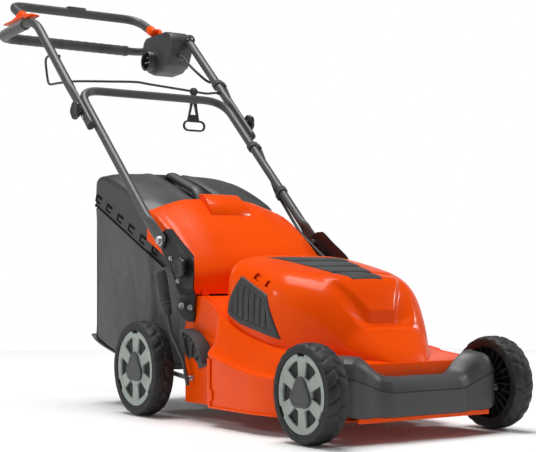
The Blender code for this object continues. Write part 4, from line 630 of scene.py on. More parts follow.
hood = formed("hood", HOOD_SIDE_STEPS, len(hood_stations) + len(HOOD_BACK), hood_place, inside=(0, 0.2, 0.16))
walled(hood, 0.0028)
backs = []
VENT_OUTLINE = ((0.17, 0.173), (0.3, 0.199), (0.358, 0.221), (0.308, 0.292), (0.212, 0.256))
for side in (-1, 1):
    combined(hood, plate("vent_opening", VENT_OUTLINE, 0.05, ACROSS, (side * 0.16, 0, 0)))
    # Two latch windows beside the vent's upper edge, each with an orange back
    for y, z, long in ((0.262, 0.2895, 0.01), (0.2225, 0.276, 0.0055)):
        window = [(y + a * 0.936 - b * 0.351, z + a * 0.351 + b * 0.936)
                  for a, b in ((-long, -0.006), (long, -0.006), (long, 0.0055), (-long, 0.0075))]
        seat = flank_reach(y, z) - 0.002
        combined(hood, plate("latch_window", window, 0.016, ACROSS, (side * seat, 0, 0)))
        corners = (window[0], window[1], window[3], window[2])

        def back_place(column, row):
            corner = corners[2 * row + column]
            return (side * (flank_reach(*corner) - 0.0055), *corner)

        backs.append(walled(formed("window_back", 1, 1, back_place, inside=(0, 0.2, 0.2)), 0.001))
combined(hood, plate("grille_opening", trapezoid(0.036, 0.088, 0.112, 0.325), 0.1, FLAT, (0, 0, 0.31)))
settle(joined("hood", hood, *backs), orange, "chassis", "orange_plastic", ["hood"], crease=42)

# Air grille
# The dark louvred plate in the hood's crown: four moulded steps, each with a lip over a slot.


def dark_finish():
    """Dark grey moulded plastic with a fine spark-eroded grain and faint scuffs."""
    made = Finish("dark_moulding", coat_weight=0.05, coat_roughness=0.4)
    grain = made.noise(900.0, 2.0)
    scuffs = made.noise(14.0, 5.0)
    made.feed("Base Color", made.mixed(grain.spread(0.35, 0.65) * 0.6 + scuffs.spread(0.45, 0.7) * 0.4,
                                       (0.04, 0.042, 0.044), (0.06, 0.062, 0.064)))
    made.feed("Roughness", scuffs.spread(0.3, 0.7, 0.42, 0.56))
    made.relief(grain, 0.00025, 0.35)
    return made.look


dark = dark_finish()
LOUVRES = 4
GRILLE_COLUMNS = 26
GRILLE_START, GRILLE_END = 0.1124, 0.3246
# Along one louvre: share of its length and height over the hood's crown
LOUVRE = ((0.0, -0.005), (0.0, 0.0004), (0.015, 0.0014), (0.05, 0.002), (0.5, 0.0012), (0.93, 0.0002),
          (0.965, -0.0008), (0.97, -0.005))
grille_rows = []
for louvre in range(LOUVRES):
    for share, over in LOUVRE:
        y = GRILLE_START + (GRILLE_END - GRILLE_START) * (louvre + share) / LOUVRES
        grille_rows.append((y, over))
grille_rows.append((GRILLE_END, -0.005))


def grille_place(column, row):
    """Across the grille: its rims drop into the opening at both sides."""
    y, over = grille_rows[row]
    half = 0.0356 + (0.0876 - 0.0356) * (y - 0.112) / 0.213
    middle = GRILLE_COLUMNS / 2
    across = min(1, max(-1, (column - middle) / (middle - 2)))
    x = half * across
    drop = 0.006 if column in (0, GRILLE_COLUMNS) else 0.0
    bow = 0.006 * across * across * (1 if 0.115 < y < 0.322 else 0)
    return (x, y + bow * 0.5, hood_height(x, y) + over - drop)


grille = formed("hood_grille", GRILLE_COLUMNS, len(grille_rows) - 1, grille_place, inside=(0, 0.2, 0.2))
walled(grille, 0.0015)
settle(grille, dark, "chassis", "dark_plastic", ["hood_grille"], crease=30)

# Side vents
# One air vent in each flank of the hood: a dark frame round a sunk field of upright ribs.

VENT_RIBS = 8
VENT_WALL = 0.0125
RIB_HALF, RIB_GAP = 0.0052, 0.013
SIDES = ((-1, "right"), (1, "left"))


def span(outline, y):
    """Lowest and highest z of an outline at a y."""
    found = []
    for (y0, z0), (y1, z1) in zip(outline, outline[1:] + outline[:1]):
        if min(y0, y1) <= y <= max(y0, y1) and y0 != y1:
            found.append(z0 + (z1 - z0) * (y - y0) / (y1 - y0))
    return min(found), max(found)


def stepped(piece, side, insets):
    """Step the face that looks outward along X, by insets of (thickness, depth)."""
    picked(piece)
    bpy.ops.object.mode_set(mode="EDIT")
    bpy.ops.mesh.select_all(action="DESELECT")
    bpy.ops.object.mode_set(mode="OBJECT")
    for face in piece.data.polygons:
        face.select = face.normal.x * side > 0.9
    bpy.ops.object.mode_set(mode="EDIT")
    bpy.ops.mesh.select_mode(type="FACE")
    for thickness, depth in insets:
        bpy.ops.mesh.inset(thickness=thickness, depth=depth)
    bpy.ops.object.mode_set(mode="OBJECT")
    return piece


def sliced(piece, axis, places):
    """Cut extra edges across a piece where it will be bent."""
    for at in places:
        picked(piece)
        bpy.ops.object.mode_set(mode="EDIT")
        bpy.ops.mesh.select_all(action="SELECT")
        point, across = Vector(), Vector()
        point[axis], across[axis] = at, 1
        bpy.ops.mesh.bisect(plane_co=point, plane_no=across)
        bpy.ops.object.mode_set(mode="OBJECT")
    return piece


# The vent's plastic: the dark moulding painted darker all over, as painted shade for its sunk field, and
# mottled at random
vent_shaded_look = plain("vent_moulding_painted_shade", (0.024, 0.026, 0.027), (0.04, 0.042, 0.044),
                  (60, 4, 0.4, 0.75), (1100, 2, 0.4, 0.55), (1100, 2, 0.0002, 0.3))
for side, label in SIDES:
    vent = plate("side_vent_" + label, VENT_OUTLINE, VENT_WALL, ACROSS)
    stepped(vent, side, ((0.0015, 0.0012), (0.0085, 0.0), (0.0022, -0.0024)))
    vent.data.transform(Matrix.Translation((side * 0.1608, 0, 0)))
    ribs = [bevelled(vent, 0.0012, 30)]
    for i in range(VENT_RIBS):
        y = 0.196 + 0.14 * i / (VENT_RIBS - 1)
        low, high = span(VENT_OUTLINE, y)
        if high - low > 0.034:
            rib = [(y - RIB_HALF, low + RIB_GAP), (y + RIB_HALF, low + RIB_GAP),
                   (y + RIB_HALF, high - RIB_GAP), (y - RIB_HALF, high - RIB_GAP)]
            ribs.append(plate("rib", rib, 0.004, ACROSS, (side * 0.1654, 0, 0), 0.0012))
    vent = sliced(joined("side_vent_" + label, *ribs), 1, [0.172 + 0.012 * i for i in range(16)])
    vent = sliced(vent, 2, [0.175 + 0.015 * i for i in range(8)])
    for corner in vent.data.vertices:
        corner.co.x += side * (flank_reach(corner.co.y, corner.co.z) - 0.1655)
    settle(vent, vent_shaded_look, "chassis", "dark_plastic", ["side_vent_" + label], crease=30)

# Front bumper
# The dark bumper moulding over the front axle: a faceted face with a parting groove, a sloped
# brow that rises towards the wheels, and a lower edge tucked in above the apron.

BUMPER_PLAN = ((0, -0.064), (0.082, -0.064), (0.102, -0.056), (0.114, -0.055), (0.132, -0.057),
               (0.16, -0.054), (0.1745, -0.044), (0.1755, -0.015), (0.1755, 0.02))
BUMPER_FOOT = ((0, 0.0436), (0.15, 0.0436), (0.1755, 0.05))
BUMPER_BROW = ((0, 0.108), (0.074, 0.108), (0.098, 0.112), (0.12, 0.124), (0.15, 0.14), (0.1755, 0.144))
# Distance in from the face and share of the height, from the lower edge over the brow
BUMPER_ROWS = ((0.008, -0.004), (0.003, 0.0), (0.0006, 0.03), (0, 0.07), (0, 0.35), (0, 0.655),
               (0.0016, 0.668), (0.0016, 0.682), (0.0002, 0.695), (0.0012, 0.74), (0.004, 0.86),
               (0.007, 0.95), (0.013, 1.02), (0.024, 1.06), (0.036, 1.075), (0.041, 1.05), (0.042, 0.94))
half_bumper = cornered(BUMPER_PLAN, 0.0035, 3)
bumper_plan = spaced([Vector((-p.x, p.y)) for p in reversed(half_bumper[1:])] + half_bumper, 200)


def bumper_place(column, row):
    """From the lower edge over the brow, drawn in less where the bumper ends at the wheels."""
    x, y = bumper_plan[column]
    inward, up = BUMPER_ROWS[row]
    low, high = between(BUMPER_FOOT, abs(x)), flow(BUMPER_BROW, abs(x))
    rear = min(1.0, max(0.0, (0.02 - y) / 0.06))
    return (x * (1 - rear * inward / 0.1755), y + inward * rear, low + (high - low) * up)


bumper = formed("front_bumper", len(bumper_plan) - 1, len(BUMPER_ROWS) - 1, bumper_place,
                inside=(0, 0.02, 0.08))
walled(bumper, 0.0025)
settle(bumper, dark, "chassis", "dark_plastic", ["front_bumper"], crease=25)

# Motor and cutter
# Under the hood stands a die-cast motor; below the deck its shaft carries an adapter, a steel
# blade and the blade's bolt. These keep their solids and get cast, zinc and ground metal finishes.


def metal_finish(name, dull, bright, grain_scale, stretch, rough):
    """Bare or plated metal: streaked tone, uneven gloss and a fine tool grain."""
    made = Finish(name, metallic=1.0)
    cloud = made.noise(35.0, 4.0)
    lines = made.noise(grain_scale, 2.0, stretch)
    tone = cloud.spread(0.35, 0.65) * 0.6 + lines.spread(0.3, 0.7) * 0.4
    made.feed("Base Color", made.mixed(tone, dull, bright))
    made.feed("Roughness", lines.spread(0.3, 0.7, rough, rough + 0.16))
    made.relief(lines, 0.0001, 0.4)
    return made.look


def dress(look, *names):
    """Give CAD nodes whose shape stays their real finish."""
    for name in names:
        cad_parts[name].data.materials.clear()
        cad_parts[name].data.materials.append(look)


zinc = metal_finish("zinc_plate", (0.42, 0.43, 0.45), (0.66, 0.67, 0.69), 300.0, (1, 1, 1), 0.26)
dress(metal_finish("cast_alloy", (0.3, 0.3, 0.31), (0.46, 0.46, 0.47), 500.0, (1, 1, 1), 0.45), "motor")
dress(metal_finish("ground_steel", (0.2, 0.2, 0.21), (0.42, 0.42, 0.43), 260.0, (0.2, 6, 6), 0.34), "blade")
dress(zinc, "motor_shaft", "blade_bolt", "flap_hinge_rod", "handle_bolt_right", "handle_bolt_left")
dress(dark, "blade_adapter")

# Axles and link
# Two bent zinc-plated rods swing in the deck and carry the wheels. A thin rod links their cranks
# so that one lever moves both.

dress(zinc, "rear_axle", "front_axle", "link_rod")

# Wheels
# Each wheel is a black moulding of tread, sidewall and ribbed web, a pale six-spoked cover
# snapped into it, and a dark shield-shaped hub cap.

WHEEL_WIDTH = 0.0445
WHEEL_OUTER = 0.234
TREAD_PITCHES, PITCH_COLUMNS = 22, 8
AROUND = TREAD_PITCHES * PITCH_COLUMNS
HUB_RADIUS = 0.016
TREAD_DEPTH = 0.0022

# Hard black rubber: dusty in its low places, a little shinier on its crown
tyre_look = plain("tyre_rubber", (0.009, 0.0095, 0.0095), (0.024, 0.025, 0.025),
                  (45, 5, 0.42, 0.72), (45, 5, 0.55, 0.72), (1400, 2, 0.0002, 0.35))
# Pale grey-green plastic with a satin grain and faint handling marks
cover_look = plain("cover_moulding", (0.34, 0.385, 0.35), (0.28, 0.32, 0.29), (60, 5, 0.35, 0.75),
                   (1300, 2, 0.34, 0.46), (1300, 2, 0.00015, 0.3), coat_weight=0.1, coat_roughness=0.3)


def turned(name, profile, place=(0, 0, 0), axis=(0, 0, 1), steps=32, ring=False):
    """A lathe-turned piece: a circle drawn out along a profile of (radius, height)."""
    bpy.ops.object.select_all(action="DESELECT")
    radius, height = profile[0]
    bpy.ops.mesh.primitive_circle_add(vertices=steps, radius=max(radius, 0.00001),
                                      fill_type="NOTHING" if ring else "NGON")
    piece = bpy.context.object
    piece.name = piece.data.name = name
    bpy.ops.object.mode_set(mode="EDIT")
    bpy.ops.mesh.select_all(action="SELECT")
    bpy.ops.transform.translate(value=(0, 0, height))
    stops = list(profile[1:]) + ([profile[0]] if ring else [])
    draw_out = bpy.ops.mesh.extrude_edges_move if ring else bpy.ops.mesh.extrude_region_move
    for next_radius, next_height in stops:
        draw_out(TRANSFORM_OT_translate={"value": (0, 0, next_height - height)})
        factor = max(next_radius, 0.00001) / max(radius, 0.00001)
        bpy.ops.transform.resize(value=(factor, factor, 1), center_override=(0, 0, next_height))
        radius, height = next_radius, next_height
    bpy.ops.object.mode_set(mode="OBJECT")
    weld(piece)
    turn = Vector(axis).to_track_quat("Z", "Y").to_matrix().to_4x4()
    piece.data.transform(Matrix.Translation(place) @ turn)
    return piece


def moved(piece, turn, place):
    """Turn a piece about the upright axis and move it."""
    piece.data.transform(Matrix.Translation(place) @ Matrix.Rotation(turn, 4, "Z"))
    return piece


def ring_arc(radius, start, end, steps):
    """Points on an arc, with its angles in degrees."""
    turn = [math.radians(start + (end - start) * i / steps) for i in range(steps + 1)]
    return [(radius * math.cos(a), radius * math.sin(a)) for a in turn]


def softened(outline, radius, steps):
    """A closed outline with its corners turned into arcs."""
    loop = [(a, b, 0) for a, b in (*outline, *outline[:2])]
    return [tuple(point)[:2] for point in cornered(loop, radius, steps)[1:-1]]


def tyre(name, radius):
    """Tread, walls and web as one closed moulding, outward along +X."""
    half = WHEEL_WIDTH / 2
    recess = 0.8 * radius
    crown = radius - 0.0004
    web_top = half - 0.0083
    tread = [(crown - 0.0024 + 0.0024 * (1 - abs(a) ** 4), a * (half - 0.005))
             for a in [1 - 2 * i / 14 for i in range(15)]]
    stations = [(recess, web_top), (recess, half - 0.001), (recess + 0.0008, half), (recess + 0.0035, half),
                (recess + 0.0042, half - 0.0007), (recess + 0.0054, half - 0.0007), (recess + 0.0062, half),
                (radius - 0.0062, half), (radius - 0.0038, half - 0.0014)] + tread
    stations += [(radius - 0.0038, 0.0014 - half), (radius - 0.0062, -half), (recess + 0.002, -half),
                 (recess - 0.003, 0.001 - half), (recess - 0.003, web_top - 0.004),
                 (HUB_RADIUS, web_top - 0.004), (HUB_RADIUS, 0.003 - half), (0.0055, 0.003 - half),
                 (0.0055, web_top), (recess, web_top)]
    first_tread, last_tread = 9, 9 + len(tread) - 1

    def place(column, row):
        reach, out = stations[row]
        angle = 2 * math.pi * column / AROUND
        if first_tread - 1 <= row <= last_tread + 1:
            across = (row - (first_tread + last_tread) / 2) / 7.5
            side_shift = 0.5 if across > 0 else 0.0
            phase = (column / PITCH_COLUMNS + side_shift + 0.42 * abs(across)) % 1.0
            if phase < 0.2 or phase > 0.93:
                reach -= TREAD_DEPTH * (1 if abs(across) < 0.93 else 0.6)
            elif abs(across) < 0.06:
                reach -= TREAD_DEPTH * 0.6
        return (out, reach * math.cos(angle), reach * math.sin(angle))

    body = formed(name, AROUND, len(stations) - 1, place)
    parts = [body]
    for i in range(24):
        angle = math.radians(15 * i)
        rib = block("rib", (0.0045 - half, HUB_RADIUS - 0.001, -0.0007),
                    (web_top - 0.003, recess - 0.002, 0.0007))
        rib.data.transform(Matrix.Rotation(angle, 4, "X"))
        parts.append(rib)
    ring = turned("ring", [(radius * 0.5, 0.0), (radius * 0.5, 0.016), (radius * 0.515, 0.016),
                           (radius * 0.515, 0.0)], (0.0075 - half, 0, 0), (1, 0, 0), 48, ring=True)
    return joined(name, *parts, ring)


def wheel_cover(name, radius):
    """The dished disc with its six windows and three rim notches."""
    recess = 0.8 * radius - 0.0006
    profile = [(recess - 0.001, 0.0), (recess, 0.0012), (recess, 0.005), (recess - 0.0012, 0.006),
               (0.7 * radius, 0.006), (0.655 * radius, 0.0045), (0.62 * radius, 0.004),
               (0.4 * radius, 0.0046), (0.33 * radius, 0.0056), (0.27 * radius, 0.006), (0.0, 0.006)]
    disc = turned(name, profile, (0, 0, 0), (1, 0, 0), 96)
    for middle in range(0, 360, 60):
        outline = ring_arc(radius * 0.66, middle - 17.5, middle + 17.5, 8)
        outline += ring_arc(radius * 0.345, middle + 12, middle - 12, 3)
        combined(disc, plate("window", softened(outline, 0.0022, 2), 0.03, ACROSS))
    for middle in (90, 210, 330):
        notch = ring_arc(radius * 0.9, middle - 13, middle + 13, 6)
        notch += ring_arc(radius * 0.735, middle + 8, middle - 8, 4)
        combined(disc, plate("notch", notch, 0.03, ACROSS))
    return bevelled(disc, 0.0006, 50)


def hub_cap(name, radius):
    """Shield-shaped cap: three soft corners, a raised flat and a sloped rim."""
    outline = []
    for i in range(48):
        angle = 2 * math.pi * i / 48
        reach = radius * (0.305 + 0.042 * math.sin(3 * angle + math.pi))
        outline.append((reach * 1.04 * math.cos(angle), reach * math.sin(angle)))
    cap = plate(name, outline, 0.0022, ACROSS, (0.0011, 0, 0))
    return stepped(cap, 1, ((0.0016, 0.0018), (0.005, 0.0006), (0.001, -0.0007)))


# Each part: name's end, shape, distance in from the wheel's outer face, finish, slot and crease
WHEEL_PARTS = (("", tyre, WHEEL_WIDTH / 2, tyre_look, "tyre_black", 32),
               ("_cover", wheel_cover, 0.008, cover_look, "cover_pale", 28),
               ("_cap", hub_cap, 0.002, dark, "dark_plastic", 25))
for end, radius, y in (("front", 0.088, 0.0), ("rear", 0.1, 0.618)):
    for side, label in SIDES:
        wheel = end + "_wheel_" + label
        for suffix, shape, depth, look, slot, crease in WHEEL_PARTS:
            seat = Vector((side * (WHEEL_OUTER - depth), y, radius))
            part = moved(shape(wheel + suffix, radius), 0.0 if side > 0 else math.pi, seat)
            settle(part, look, wheel, slot, [wheel + suffix], crease)

# Height lever
# A painted rod on the rear axle carries a ringed rubber grip beside the right wheel. It moves
# over a dark quadrant guard whose rim is notched for the cutting heights.

REAR_PIVOT = Vector((0, 0.46996, 0.084963))
LEVER_REACH = Vector((0, math.cos(math.radians(70)), math.sin(math.radians(70))))
LEVER_X = 0.208


def swept(name, path, radius, sides=18, ends=0.25):
    """A round bar along a path, with eased closed ends. The radius may be a pair (across X, the
    other way), or a function that gives the pair at a distance along a length."""
    path = [Vector(point) for point in path]
    reach = travelled(path)
    tangents = []
    for i in range(len(path)):
        a, b = path[max(0, i - 1)], path[min(len(path) - 1, i + 1)]
        tangents.append((b - a).normalized())
    beside = Vector((1, 0, 0)) if abs(tangents[0].x) < 0.8 else Vector((0, 1, 0))
    frames = []
    for tangent in tangents:
        beside = (beside - tangent * beside.dot(tangent)).normalized()
        frames.append((beside.copy(), tangent.cross(beside)))
    pair = radius if isinstance(radius, tuple) else (radius, radius)
    size = radius if callable(radius) else lambda along, length: pair
    last = len(path) - 1
    lead = ends * (size(0, reach[-1])[1])
    stations = [(0, 0, 0.0), (0, 0, 0.7), (0, lead * 0.3, 0.92), (0, lead, 1.0)]
    stations += [(i, 0, 1.0) for i in range(1, last)]
    stations += [(last, -lead, 1.0), (last, -lead * 0.3, 0.92), (last, 0, 0.7), (last, 0, 0.0)]

    def place(column, row):
        i, offset, share = stations[row]
        angle = 2 * math.pi * column / sides
        one, other = frames[i]
        wide, high = size(reach[i], reach[-1])
        return (path[i] + tangents[i] * offset + one * (wide * share * math.cos(angle))
                + other * (high * share * math.sin(angle)))

    return formed(name, sides, len(stations) - 1, place)


# Soft dark rubber: matt, greyed by handling, with a fine pebble
rubber = plain("grip_rubber", (0.028, 0.029, 0.03), (0.046, 0.047, 0.048), (50, 4, 0.35, 0.7),
               (50, 4, 0.62, 0.78), (1500, 1, 0.00025, 0.4), sheen_weight=0.15)
# Grey satin powder coat over steel tube, with orange peel and small rub marks
tube_look = plain("tube_powder_coat", (0.048, 0.05, 0.052), (0.062, 0.064, 0.066), (22, 5, 0.3, 0.85),
                  (22, 5, 0.42, 0.5), (500, 2, 0.00005, 0.06), coat_weight=0.12, coat_roughness=0.35)

lever_knots = ((-0.014, 0.1903), (0.04, 0.1903), (0.095, LEVER_X), (0.222, LEVER_X))
lever_path = cornered([REAR_PIVOT + LEVER_REACH * along + Vector((-x, 0, 0)) for along, x in lever_knots],
                      0.012)
settle(swept("height_lever", lever_path, 0.004, 14), tube_look, "rear_carrier", "tube_paint",
       ["height_lever"])

# Down the grip: share of its length from the top, and share of its radius
GRIP_SHAPE = [(0.0, 0.0), (0.0, 0.55), (0.015, 0.8), (0.05, 0.97), (0.1, 1.0), (0.3, 1.0), (0.55, 0.97)]
for i in range(3):
    start = 0.6 + 0.085 * i
    GRIP_SHAPE += [(start, 0.93 - 0.02 * i), (start + 0.012, 0.8), (start + 0.03, 0.8),
                   (start + 0.042, 0.92 - 0.02 * i)]
GRIP_SHAPE += [(0.9, 0.82), (0.97, 0.74), (1.0, 0.62), (1.0, 0.0)]
grip_profile = [(0.013 * share, 0.098 * (1 - down)) for down, share in GRIP_SHAPE]
grip_seat = REAR_PIVOT + LEVER_REACH * 0.137 + Vector((-LEVER_X, 0, 0))
grip = turned("lever_grip", [(max(r, 0.0001), h) for r, h in grip_profile], grip_seat, LEVER_REACH, 24)
settle(grip, rubber, "rear_carrier", "grip_rubber", ["lever_grip"], crease=40)

GUARD_CENTRE = (0.46996, 0.096963)


def about(centre, radius, start, end, steps):
    """Points on an arc round a centre."""
    return [(centre[0] + a, centre[1] + b) for a, b in ring_arc(radius, start, end, steps)]


def sector(name, outer, inner, thickness, x, edge):
    """A plate between two arcs round the guard's centre, each a radius, a start, an end and steps."""
    outline = about(GUARD_CENTRE, *outer) + about(GUARD_CENTRE, *inner)
    return plate(name, outline, thickness, ACROSS, (x, 0, 0), edge)


guard_parts = [sector("lever_guard", (0.0895, 88, 165, 20), (0.0835, 165, 88, 20), 0.0285, -0.1908, 0.0012),
               sector("guard_web", (0.0885, 60, 164, 24), (0.03, 164, 60, 10), 0.0025, -0.17755, 0.0006)]
for i in range(7):
    angle = math.radians(94 + 11 * i)
    middle = (GUARD_CENTRE[0] + 0.079 * math.cos(angle), GUARD_CENTRE[1] + 0.079 * math.sin(angle))
    tooth = plate("tooth", [(-0.0052, -0.0016), (0.0052, -0.0022), (0.0052, 0.0022), (-0.0052, 0.0016)],
                  0.026, ACROSS @ Matrix.Rotation(angle, 4, "Z"), (-0.1915, *middle), 0.0006)
    guard_parts.append(tooth)
for start in (70, 100, 130):
    guard_parts.append(sector("rib", (0.084, start, start + 1.6, 1), (0.034, start + 2.6, start - 1, 1),
                              0.006, -0.1812, 0.0005))
settle(joined("lever_guard", *guard_parts), rubber, "chassis", "dark_plastic", ["lever_guard"], crease=30)

# Handle brackets
# Two pressed steel plates, painted dark. Each has a turned front flange and a joggle down to the
# deck's flank, where it is bolted; small zinc bolts and a lobed black knob stand on it.

PIVOT = (0.5606, 0.3684)
BRACKET_KNOB = (0.47, 0.3095)
# The plate's rows: height, front edge, rear edge and distance out
BRACKET_ROWS = ((0.2, 0.462, 0.486, 0.1779), (0.212, 0.457, 0.512, 0.1779), (0.226, 0.455, 0.528, 0.1779),
                (0.25, 0.451, 0.516, 0.1779), (0.256, 0.448, 0.513, 0.18), (0.266, 0.438, 0.507, 0.1905),
                (0.272, 0.434, 0.505, 0.1926), (0.28, 0.432, 0.508, 0.193), (0.3, 0.43, 0.521, 0.193),
                (0.33, 0.4335, 0.55, 0.193), (0.345, 0.453, 0.565, 0.193), (0.362, 0.481, 0.573, 0.193),
                (0.374, 0.5, 0.573, 0.193), (0.384, 0.514, 0.567, 0.193), (0.392, 0.528, 0.55, 0.193))
BRACKET_FRONT, BRACKET_REAR, BRACKET_OUT = ([(row[0], row[k]) for row in BRACKET_ROWS] for k in (1, 2, 3))
# Its columns: share of the way from front to rear, and how far the front flange is turned out there
BRACKET_COLUMNS = ((0.0, 0.0042), (0.0, 0.0032), (0.03, 0.0006), (0.1, -0.0002), (0.16, 0.0), (0.35, 0.0),
                   (0.6, 0.0), (0.82, 0.0), (0.94, 0.0), (1.0, 0.0), (1.0, 0.0))
bracket_heights = [0.2 + 0.0048 * i for i in range(41)]
# Dark satin paint on pressed steel, with bright rubs where the tools gripped it
bracket_look = plain("bracket_paint", (0.008, 0.008, 0.009), (0.024, 0.025, 0.026), (40, 6, 0.45, 0.72),
                     (40, 6, 0.32, 0.46), (700, 2, 0.0002, 0.3), coat_weight=0.08, coat_roughness=0.3,
                     ior=1.32)


def hex_bolt(name, side, x, y, z, size=0.0065, height=0.0045):
    """A hexagon head on a pressed washer, outward along X."""
    washer = turned(name, [(size * 1.25, 0.0), (size * 1.3, 0.0006), (size * 1.15, 0.0012), (0.0001, 0.0012)],
                    (side * x, y, z), (side, 0, 0), 24)
    head = turned("head", [(size, 0.0), (size, height * 0.8), (size * 0.86, height), (0.0001, height)],
                  (side * (x + 0.0011), y, z), (side, 0, 0), 6)
    return joined(name, washer, head)


# On each plate: place on the flank, and the head's size and height
DECK_BOLTS = ((0.1792, 0.472, 0.229, 0.0052, 0.0045), (0.1792, 0.508, 0.232, 0.0058, 0.0045),
              (0.1944, 0.497, 0.283, 0.0042, 0.003), (0.1944, 0.527, 0.33, 0.0042, 0.003))
BRACKET_SLIT = ((0.4985, 0.36), (0.5015, 0.357), (0.4615, 0.3265), (0.459, 0.33))
for side, label in SIDES:
    def bracket_place(column, row):
        """From the turned front flange to the rear edge."""
        z = bracket_heights[row]
        front, rear = flow(BRACKET_FRONT, z), flow(BRACKET_REAR, z)
        share, lift = BRACKET_COLUMNS[column]
        x = between(BRACKET_OUT, z) + (lift if 0.215 < z < 0.325 else 0.0)
        return (side * x, front + (rear - front) * share, z)

    bracket = formed("handle_bracket_" + label, len(BRACKET_COLUMNS) - 1, len(bracket_heights) - 1,
                     bracket_place, inside=(0, 0.5, 0.3))
    walled(bracket, 0.0026, 0.0)
    settle(bracket, bracket_look, "chassis", "bracket_paint", ["handle_bracket_" + label], crease=35)
    # A thin dark plate over the bracket's slit: its colour is painted shade in the opening
    slit_shadow = plate("bracket_slit_shadow_" + label, BRACKET_SLIT, 0.001, ACROSS, (side * 0.194, 0, 0))
    settle(slit_shadow, rubber, "chassis", "dark_plastic")
    bolts = [hex_bolt("deck_bolt", side, *bolt) for bolt in DECK_BOLTS]
    settle(joined("bracket_bolts_" + label, *bolts), zinc, "chassis", "zinc_steel")
    settle(hex_bolt("handle_bolt_head_" + label, side, 0.2018, *PIVOT, 0.0085, 0.0068), zinc, "chassis",
           "zinc_steel")


def knob(name, side, y, z, seat_x):
    """A five-lobed clamp knob: collar, hollowed flanks and a dished face."""
    profile = [(0.0001, 0.0), (0.008, 0.0), (0.0085, 0.003), (0.018, 0.0042), (0.0208, 0.0058),
               (0.022, 0.0085), (0.0218, 0.0128), (0.02, 0.0152), (0.017, 0.016), (0.013, 0.015),
               (0.008, 0.0142), (0.0001, 0.014)]

    def place(column, row):
        reach, out = profile[row]
        angle = 2 * math.pi * column / 60
        if 3 <= row <= 8:
            reach *= 0.86 + 0.14 * abs(math.cos(2.5 * angle)) ** 0.6
        return Vector((side * (seat_x + out), y + reach * math.cos(angle), z + reach * math.sin(angle)))

    return formed(name, 60, len(profile) - 1, place)


# Black glass-filled nylon with a dull shine and a faint speckle
black = plain("knob_nylon", (0.008, 0.008, 0.009), (0.02, 0.02, 0.021),
              (300, 3, 0.4, 0.7), (40, 3, 0.32, 0.45), (300, 3, 0.0002, 0.3))
for side, label in SIDES:
    for kind, y, z, seat_x in (("bracket_knob_", *BRACKET_KNOB, 0.1949), ("mid_knob_", 0.906, 0.68, 0.2269)):
        name = kind + label
        piece = knob(name, side, y, z, seat_x)
        stud = turned("stud", [(0.0038, 0.0), (0.0038, 0.009), (0.0001, 0.009)],
                      (side * (seat_x - 0.007), y, z), (side, 0, 0), 12)
        settle(joined(name, piece, stud), black, name + "_body", "dark_plastic", [name], crease=50)

# Lower handle
# One steel tube bent to a U: its feet are pressed flat and bolted to the brackets, and its
# crossbar joins the sides just above the fold.

SLOPE = math.radians(42.5)
ALONG = Vector((0, math.cos(SLOPE), math.sin(SLOPE)))
OUT = Vector((0, -math.sin(SLOPE), math.cos(SLOPE)))
FOLD = Vector((0, 0.906, 0.68))
LOWER_X = 0.2


def on_handle(along, x, out=0.0):
    """A place beside the handle's line, measured from its fold."""
    return FOLD + ALONG * along + OUT * out + Vector((x, 0, 0))


def finer(path, step):
    """The same path with no stretch longer than a step."""
    made = [path[0]]
    for a, b in zip(path, path[1:]):
        count = max(1, math.ceil((b - a).length / step))
        made += [a.lerp(b, (i + 1) / count) for i in range(count)]
    return made


def flattened(foot, middle, start, run):
    """The size of a bar along its path: one pair at its feet, easing into another between them."""
    def size(along, length):
        share = ease((min(along, length - along) - start) / run)
        return tuple(a + (b - a) * share for a, b in zip(foot, middle))

    return size


foot = Vector((0, PIVOT[0], PIVOT[1])) - ALONG * 0.0125
lower_half = [foot + Vector((-0.1979, 0, 0)), Vector((-0.1979, 0.585, 0.3865)),
              Vector((-LOWER_X, 0.612, 0.41)), on_handle(-0.33, -LOWER_X)]
lower_corners = lower_half + [on_handle(0.088, -LOWER_X), on_handle(0.088, LOWER_X)]
lower_corners += [Vector((-p.x, p.y, p.z)) for p in reversed(lower_half)]
lower_path = cornered(lower_corners[:4], 0.01, 3)[:-1] + cornered(lower_corners[3:7], 0.058, 14)
lower_path += cornered(lower_corners[6:], 0.01, 3)[1:]
# Flat tongues at both feet, round tube between them
lower_size = flattened((0.003, 0.0165), (0.01, 0.01), 0.062, 0.034)
settle(swept("lower_handle", finer(lower_path, 0.012), lower_size, 20, 0.5), tube_look, "lower_frame",
       "tube_paint", ["lower_handle"], crease=40)

# Upper handle
# One steel tube bent to the handle's loop. Its lower ends are squeezed to flat sleeves that fold
# beside the lower handle, and are stopped with black plugs.

UPPER_X = 0.2185
KNEE_Y, LEVEL_Z, LOOP_Y = 1.1941, 0.944, 1.434

upper_half = [on_handle(-0.06, -UPPER_X), Vector((-UPPER_X, KNEE_Y, LEVEL_Z)),
              Vector((-UPPER_X, LOOP_Y, 0.938))]
upper_corners = upper_half + [Vector((-p.x, p.y, p.z)) for p in reversed(upper_half)]
upper_path = cornered(upper_corners, 0.05, 12)
# Squeezed sleeves at both ends, round tube between them
upper_size = flattened((0.008, 0.0125), (0.011, 0.011), 0.125, 0.035)
settle(swept("upper_handle", finer(upper_path, 0.012), upper_size, 20, 0.2), tube_look, "upper_frame",
       "tube_paint", ["upper_handle"], crease=40)

for side, label in SIDES:
    start = on_handle(-0.0615, side * UPPER_X)
    plug = turned("end_plug", [(0.0086, 0.0), (0.0098, 0.0012), (0.0098, 0.0034), (0.008, 0.0036),
                               (0.0078, 0.01), (0.0001, 0.01)], start, ALONG, 24)
    rivet = hex_bolt("sleeve_rivet", side, UPPER_X + 0.0078, *on_handle(-0.022, 0).yz, 0.0035, 0.002)
    settle(plug, rubber, "upper_frame", "grip_rubber")
    settle(rivet, zinc, "upper_frame", "zinc_steel")

